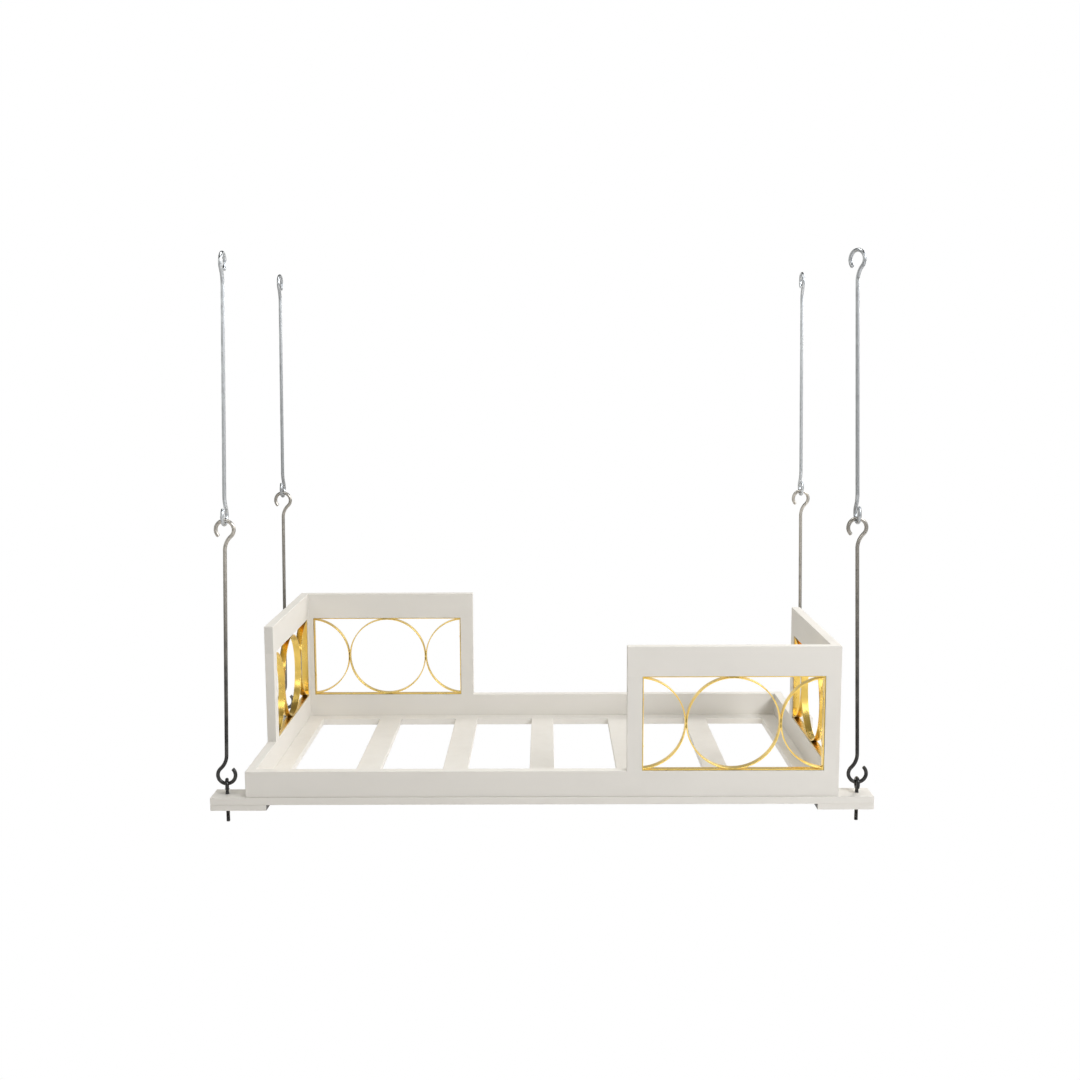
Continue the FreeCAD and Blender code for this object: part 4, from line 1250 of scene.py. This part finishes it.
class DAYBED_OT_hanging_rods(bpy.types.Operator):
    """Hanging rods: round bar bent cold into a hook at each end, a lower and an upper at each corner"""
    bl_idname = "daybed.hanging_rods"
    bl_label = "Hooked rods"

    def execute(self, context):
        sizes = context.scene.daybed_steel
        link_drop = 2 * sizes.wire + LINK_GAP
        for side, end in RODS:
            low = node_box(f"{side}_{end}_lower_rod")[0]
            x, y = eyebolt_place(side, end)
            foot = np.array([x, y, low[2] + sizes.hook + sizes.wire])
            crossing = joint_place(f"{side}_{end}_rod_swing")
            head = crossing - (0, 0, sizes.hook)
            self.rod(f"{side}_{end}_lower_rod", foot, head, 0.0, 0.0, LOWER_FINISH[side, end],
                     lower_rod_steel(), "lower_rod_steel", f"{side}_{end}_lower_rod")
            eye = mount_place(f"{side}_{end}_top_eye")
            hang = crossing - (0, 0, link_drop)
            lean = (eye - hang) / np.linalg.norm(eye - hang)
            twist = sizes.twist if (side, end) == ("front", "right") else 0.0
            quarter = -math.pi / 2
            self.rod(f"{side}_{end}_upper_rod", hang + lean * sizes.hook, eye, quarter, quarter + twist,
                     UPPER_FINISH[side, end], upper_rod_steel(), "upper_rod_steel", "upper_rods")
        return {"FINISHED"}

    def rod(self, node, foot, head, low_turn, high_turn, finish, material, slot, body):
        sizes = bpy.context.scene.daybed_steel
        axis = head - foot
        span = float(np.linalg.norm(axis))
        axis = axis / span
        path, square, curl, height = hooked_path(span, sizes, low_turn, high_turn)
        dark_foot, dark_head, heat = finish
        share = np.clip(height, 0, 1) ** 1.6
        ease = share * share * (3 - 2 * share)
        blacking = dark_foot + (dark_head - dark_foot) * ease
        tempered = heat * np.where(height > 0.5, curl, curl * 0.3)
        centres = lean_onto(path, foot, axis)
        bends = lean_onto(square, np.zeros(3), axis)
        marks = {"blacking": blacking, "heat": tempered}
        shell = wire_shell(centres, bends, sizes.wire, WIRE_TIP, marks)
        make_piece(f"{node}_wire", [shell], material, body, node)


# ---------------------------------------------------------------- eyebolts

EYE_RING = 16.3 * MM
THREAD_TOP, THREAD_DEPTH = -30 * MM, 1.1 * MM
WASHER_RADIUS = 16 * MM
NUT_HALF_WIDTH = 9.5 * MM

class DAYBED_OT_eyebolts(bpy.types.Operator):
    """Eyebolts with their washers and chamfered nuts, blacked"""
    bl_idname = "daybed.eyebolts"
    bl_label = "Eyebolts, washers and nuts"

    def execute(self, context):
        sizes = context.scene.daybed_steel
        washer_low, washer_high = node_box("eyebolt_washers")
        nut_low, nut_high = node_box("eyebolt_nuts")
        washers, nuts = [], []
        for side, end in RODS:
            name = f"{side}_{end}_eyebolt"
            low, high = node_box(name)
            x, y = eyebolt_place(side, end)
            turn = sizes.eye_turn if (side, end) == ("front", "left") else 0.0
            make_piece(f"{name}_blacked", self.bolt(x, y, low[2], high[2], turn, sizes), black_steel(),
                       "bed", name)
            washers.append(self.washer(x, y, washer_low[2], washer_high[2], sizes.wire))
            nuts.append(self.nut(x, y, nut_low[2], nut_high[2], sizes.wire))
        make_piece("eyebolt_washers_blacked", washers, black_steel(), "bed", "eyebolt_washers")
        make_piece("eyebolt_nuts_blacked", nuts, black_steel(), "bed", "eyebolt_nuts")
        return {"FINISHED"}

    def bolt(self, x, y, low, high, turn, sizes):
        """An eye that is a torus, on a shank whose neck flares into it and whose tail is threaded."""
        ring = EYE_RING
        centre = np.array([x, y, high - ring - sizes.wire])
        across = np.array([-math.sin(turn), math.cos(turn), 0.0])
        up = np.array([0.0, 0.0, 1.0])
        angle = np.linspace(0, 2 * math.pi, 96, endpoint=False)
        spoke = np.cos(angle)[:, None] * across + np.sin(angle)[:, None] * up
        normal = np.cross(across, up)
        round_wire = np.linspace(0, 2 * math.pi, 32, endpoint=False)
        points = (centre + spoke[:, None] * (ring + sizes.wire * np.cos(round_wire))[None, :, None]
                  + normal * (sizes.wire * np.sin(round_wire))[None, :, None])
        uv = np.stack(np.broadcast_arrays(np.linspace(0, 2 * math.pi * ring, 97)[:, None],
                                          np.linspace(0, 2 * math.pi * sizes.wire, 33)[None]), -1)
        eye = grid_shell(points, uv, {"arris": 0.0}, closed=True)
        rows = [(sizes.wire - 1.4 * MM, low), (sizes.wire - 1.0 * MM, low + 0.1 * MM)]
        pitch = sizes.thread_pitch
        levels = np.arange(low + 0.8 * MM, THREAD_TOP, pitch / 8)
        rows += [(sizes.wire, z) for z in levels]
        rows += [(sizes.wire, THREAD_TOP + 1 * MM), (sizes.wire, -1 * MM), (sizes.wire, 1 * MM)]
        # The neck narrows, then flares as a fillet where it is welded to the eye.
        neck = [(6.0, 4), (5.6, 8), (5.6, 11), (6.0, 13.5), (6.8, 15.5), (8.2, 17.2), (5.2, 18.2)]
        rows += [(radius * MM, z * MM) for radius, z in neck]
        first, last = 2, 2 + len(levels)

        def shape(radius, height, angle):
            """The thread's depth falls and rises as a triangle wave of height / pitch - angle / 2 pi."""
            phase = (height[first:last] / pitch - angle / (2 * math.pi)) % 1.0
            ramp = np.clip((height[first:last] - low) / (2 * pitch), 0, 1)
            ramp = ramp * np.clip((THREAD_TOP - height[first:last]) / pitch, 0, 1)
            radius[first:last] -= (1 - np.abs(2 * phase - 1)) * THREAD_DEPTH * ramp
            return radius, height

        crest = np.zeros(len(rows))
        crest[first:last] = 0.3
        shank = turned_shell(rows, (x, y, 0), segments=40, shape=shape, marks={"arris": crest[:, None]})
        return [eye, shank]

    def washer(self, x, y, low, high, wire):
        """A stamped washer: a flat ring with eased rims."""
        inner, outer, ease = wire + 0.05 * MM, WASHER_RADIUS, 0.35 * MM
        rows = [(inner, low), (outer - ease, low), (outer - 0.3 * ease, low + 0.3 * ease),
                (outer, low + ease), (outer, high - ease), (outer - 0.3 * ease, high - 0.3 * ease),
                (outer - ease, high), (inner, high)]
        worn = np.array([0, 0.5, 1, 1, 1, 1, 0.5, 0.0])[:, None]
        return turned_shell(rows, (x, y, 0), segments=64, marks={"arris": worn}, closed=True)

    def nut(self, x, y, low, high, wire):
        """A hexagon nut. Its side reaches flat / cos(a) at angle a from a flat's middle, and a cone
        of 30 degrees takes off its corners: the side ends (reach - flat) * tan 30 short of each face.
        """
        flat = NUT_HALF_WIDTH
        inner, chamfer = wire + 0.05 * MM, 0.9 * MM
        rows = [(inner, low + chamfer), (inner + chamfer, low), (flat * 0.96, low), (1.0, low), (1.0, high),
                (flat * 0.96, high), (inner + chamfer, high), (inner, high - chamfer)]

        def shape(radius, height, angle):
            from_flat = (angle + math.pi / 6) % (math.pi / 3) - math.pi / 6
            reach = flat / np.cos(from_flat)
            cut = (reach - flat * 0.96) * math.tan(math.pi / 6)
            radius[3:5] = reach
            height[3] += cut
            height[4] -= cut
            return radius, height

        worn = np.array([0, 0.3, 0.6, 1, 1, 0.6, 0.3, 0.0])[:, None]
        return turned_shell(rows, (x, y, 0), segments=72, shape=shape, marks={"arris": worn}, closed=True)


# ---------------------------------------------------------------- studio

# Each soft light's place, the point it faces, its side length and its colour.
LIGHTS = {
    "key": ((4.7, -4.4, 4.7), (0, 0, 0.3), 3.0, (0.95, 0.965, 1.0)),
    "fill": ((-3.2, -4.6, 4.0), (0, 0, 0.3), 2.0, (1.0, 0.98, 0.93)),
    "top": ((-0.5, -0.4, 4.8), (0, 0, 0.2), 2.0, (1.0, 0.99, 0.96)),
    "back": ((3.2, 2.6, 2.6), (0, 0, 0.2), 2.0, (1.0, 0.97, 0.95)),
}


class DAYBED_OT_studio(bpy.types.Operator):
    """Studio: a pale floor, soft lights and the camera"""
    bl_idname = "daybed.studio"
    bl_label = "Studio"

    def execute(self, context):
        sizes = context.scene.daybed_studio
        self.camera(sizes)
        self.floor(sizes)
        self.sky()
        for name, (place, target, size, colour) in LIGHTS.items():
            self.soft_light(name, place, target, size, getattr(sizes, name), colour)
        context.scene.view_settings.view_transform = "Standard"
        return {"FINISHED"}

    def camera(self, sizes):
        """The camera's axes: ahead from pitch and yaw, then its right and up turned by the roll."""
        p, y, r = sizes.pitch, sizes.yaw, sizes.roll
        ahead = np.array([math.sin(y) * math.cos(p), math.cos(y) * math.cos(p), -math.sin(p)])
        right = np.array([math.cos(y), -math.sin(y), 0.0])
        up = np.cross(right, ahead)
        across = right * math.cos(r) + up * math.sin(r)
        above = up * math.cos(r) - right * math.sin(r)
        camera = bpy.data.objects.new("camera", bpy.data.cameras.new("camera"))
        turn = Matrix(np.stack([across, above, -ahead], 1).tolist()).to_4x4()
        camera.matrix_world = Matrix.Translation(sizes.camera_place) @ turn
        camera.data.lens = sizes.lens
        camera.data.sensor_width = 36
        camera.data.clip_end = 100
        bpy.context.scene.collection.objects.link(camera)
        bpy.context.scene.camera = camera

    def floor(self, sizes):
        """A wide pale floor, seen white from above and clear from below."""
        mesh = bpy.data.meshes.new("floor")
        reach, z = 30.0, sizes.floor_level
        mesh.from_pydata([(-reach, -reach, z), (reach, -reach, z), (reach, reach, z), (-reach, reach, z)],
                         [], [(0, 1, 2, 3)])
        material, tree, shader = new_material("floor white")
        finish_material(tree, shader, {"Base Color": (0.9, 0.88, 0.86, 1.0), "Roughness": 0.8})
        glow = tree.add("Emission", {"Color": (1, 1, 1, 1), "Strength": 1.0})
        clear = tree.add("BsdfTransparent")
        seen = tree.add("MixShader", {0: tree.add("LightPath").outputs["Is Camera Ray"],
                                      1: shader.outputs[0], 2: glow.outputs[0]})
        both = tree.add("MixShader", {0: tree.add("NewGeometry").outputs["Backfacing"],
                                      1: seen.outputs[0], 2: clear.outputs[0]})
        out = material.node_tree.nodes["Material Output"]
        material.node_tree.links.new(both.outputs[0], out.inputs["Surface"])
        mesh.materials.append(material)
        floor = bpy.data.objects.new("floor", mesh)
        bpy.context.scene.collection.objects.link(floor)

    def sky(self):
        """White behind the object; soft light from the back; a bright low band for reflections."""
        world = bpy.data.worlds.new("studio sky")
        world.use_nodes = True
        tree = Tree(world.node_tree)
        world.node_tree.nodes.clear()
        way = tree.add("SeparateXYZ", {0: tree.add("TexCoord").outputs["Generated"]})
        behind = tree.span(way.outputs["Y"], 0.0, 0.6, 0.02, 1.14)
        ring = tree.span(way.outputs["Z"], 0.05, 0.6, 0.95, 0.06)
        rays = tree.add("LightPath")
        level = tree.span(rays.outputs["Is Glossy Ray"], 0.0, 1.0, behind, ring)
        soft = tree.add("Background", {"Color": (1.0, 0.99, 0.95, 1.0), "Strength": level})
        white = tree.add("Background", {"Color": (1, 1, 1, 1), "Strength": 1.0})
        both = tree.add("MixShader", {0: rays.outputs["Is Camera Ray"],
                                      1: soft.outputs[0], 2: white.outputs[0]})
        out = tree.add("OutputWorld")
        world.node_tree.links.new(both.outputs[0], out.inputs["Surface"])
        bpy.context.scene.world = world

    def soft_light(self, name, place, target, size, power, colour):
        """A square soft box that faces its target."""
        light = bpy.data.lights.new(name, "AREA")
        light.size = size
        light.energy = power
        light.color = colour
        holder = bpy.data.objects.new(name, light)
        place, target = np.array(place, float), np.array(target, float)
        back = (place - target) / np.linalg.norm(place - target)
        right = np.cross((0.0, 0.0, 1.0), back) if abs(back[2]) < 0.99 else np.array([1.0, 0.0, 0.0])
        right /= np.linalg.norm(right)
        turn = Matrix(np.stack([right, np.cross(back, right), back], 1).tolist()).to_4x4()
        holder.matrix_world = Matrix.Translation(place) @ turn
        holder.visible_camera = False
        bpy.context.scene.collection.objects.link(holder)


# ---------------------------------------------------------------- panel and run

STEPS = (
    DAYBED_OT_base_rails, DAYBED_OT_hanger_blocks, DAYBED_OT_boards, DAYBED_OT_slats,
    DAYBED_OT_screens, DAYBED_OT_grilles, DAYBED_OT_grille_screws, DAYBED_OT_fixings,
    DAYBED_OT_hanging_rods, DAYBED_OT_eyebolts, DAYBED_OT_studio,
)
SETTINGS = {
    "daybed_timber": DaybedTimber, "daybed_gilt": DaybedGilt, "daybed_steel": DaybedSteel,
    "daybed_studio": DaybedStudio,
}


class DAYBED_PT_panel(bpy.types.Panel):
    """Lists the sizes and the pieces of the hanging daybed"""
    bl_idname = "DAYBED_PT_panel"
    bl_label = "Hanging daybed"
    bl_space_type = "VIEW_3D"
    bl_region_type = "UI"
    bl_category = "Daybed"

    def draw(self, context):
        for key, kind in SETTINGS.items():
            box = self.layout.box()
            for prop in kind.__annotations__:
                box.prop(getattr(context.scene, key), prop)
        for step in STEPS:
            self.layout.operator(step.bl_idname)


def register():
    for key, kind in SETTINGS.items():
        bpy.utils.register_class(kind)
        setattr(bpy.types.Scene, key, PointerProperty(type=kind))
    for kind in STEPS + (DAYBED_PT_panel,):
        bpy.utils.register_class(kind)


def unregister():
    for kind in (DAYBED_PT_panel,) + STEPS[::-1]:
        bpy.utils.unregister_class(kind)
    for key, kind in SETTINGS.items():
        delattr(bpy.types.Scene, key)
        bpy.utils.unregister_class(kind)


def main():
    register()
    for step in STEPS:
        group, name = step.bl_idname.split(".")
        getattr(getattr(bpy.ops, group), name)()


if __name__ == "__main__":
    main()
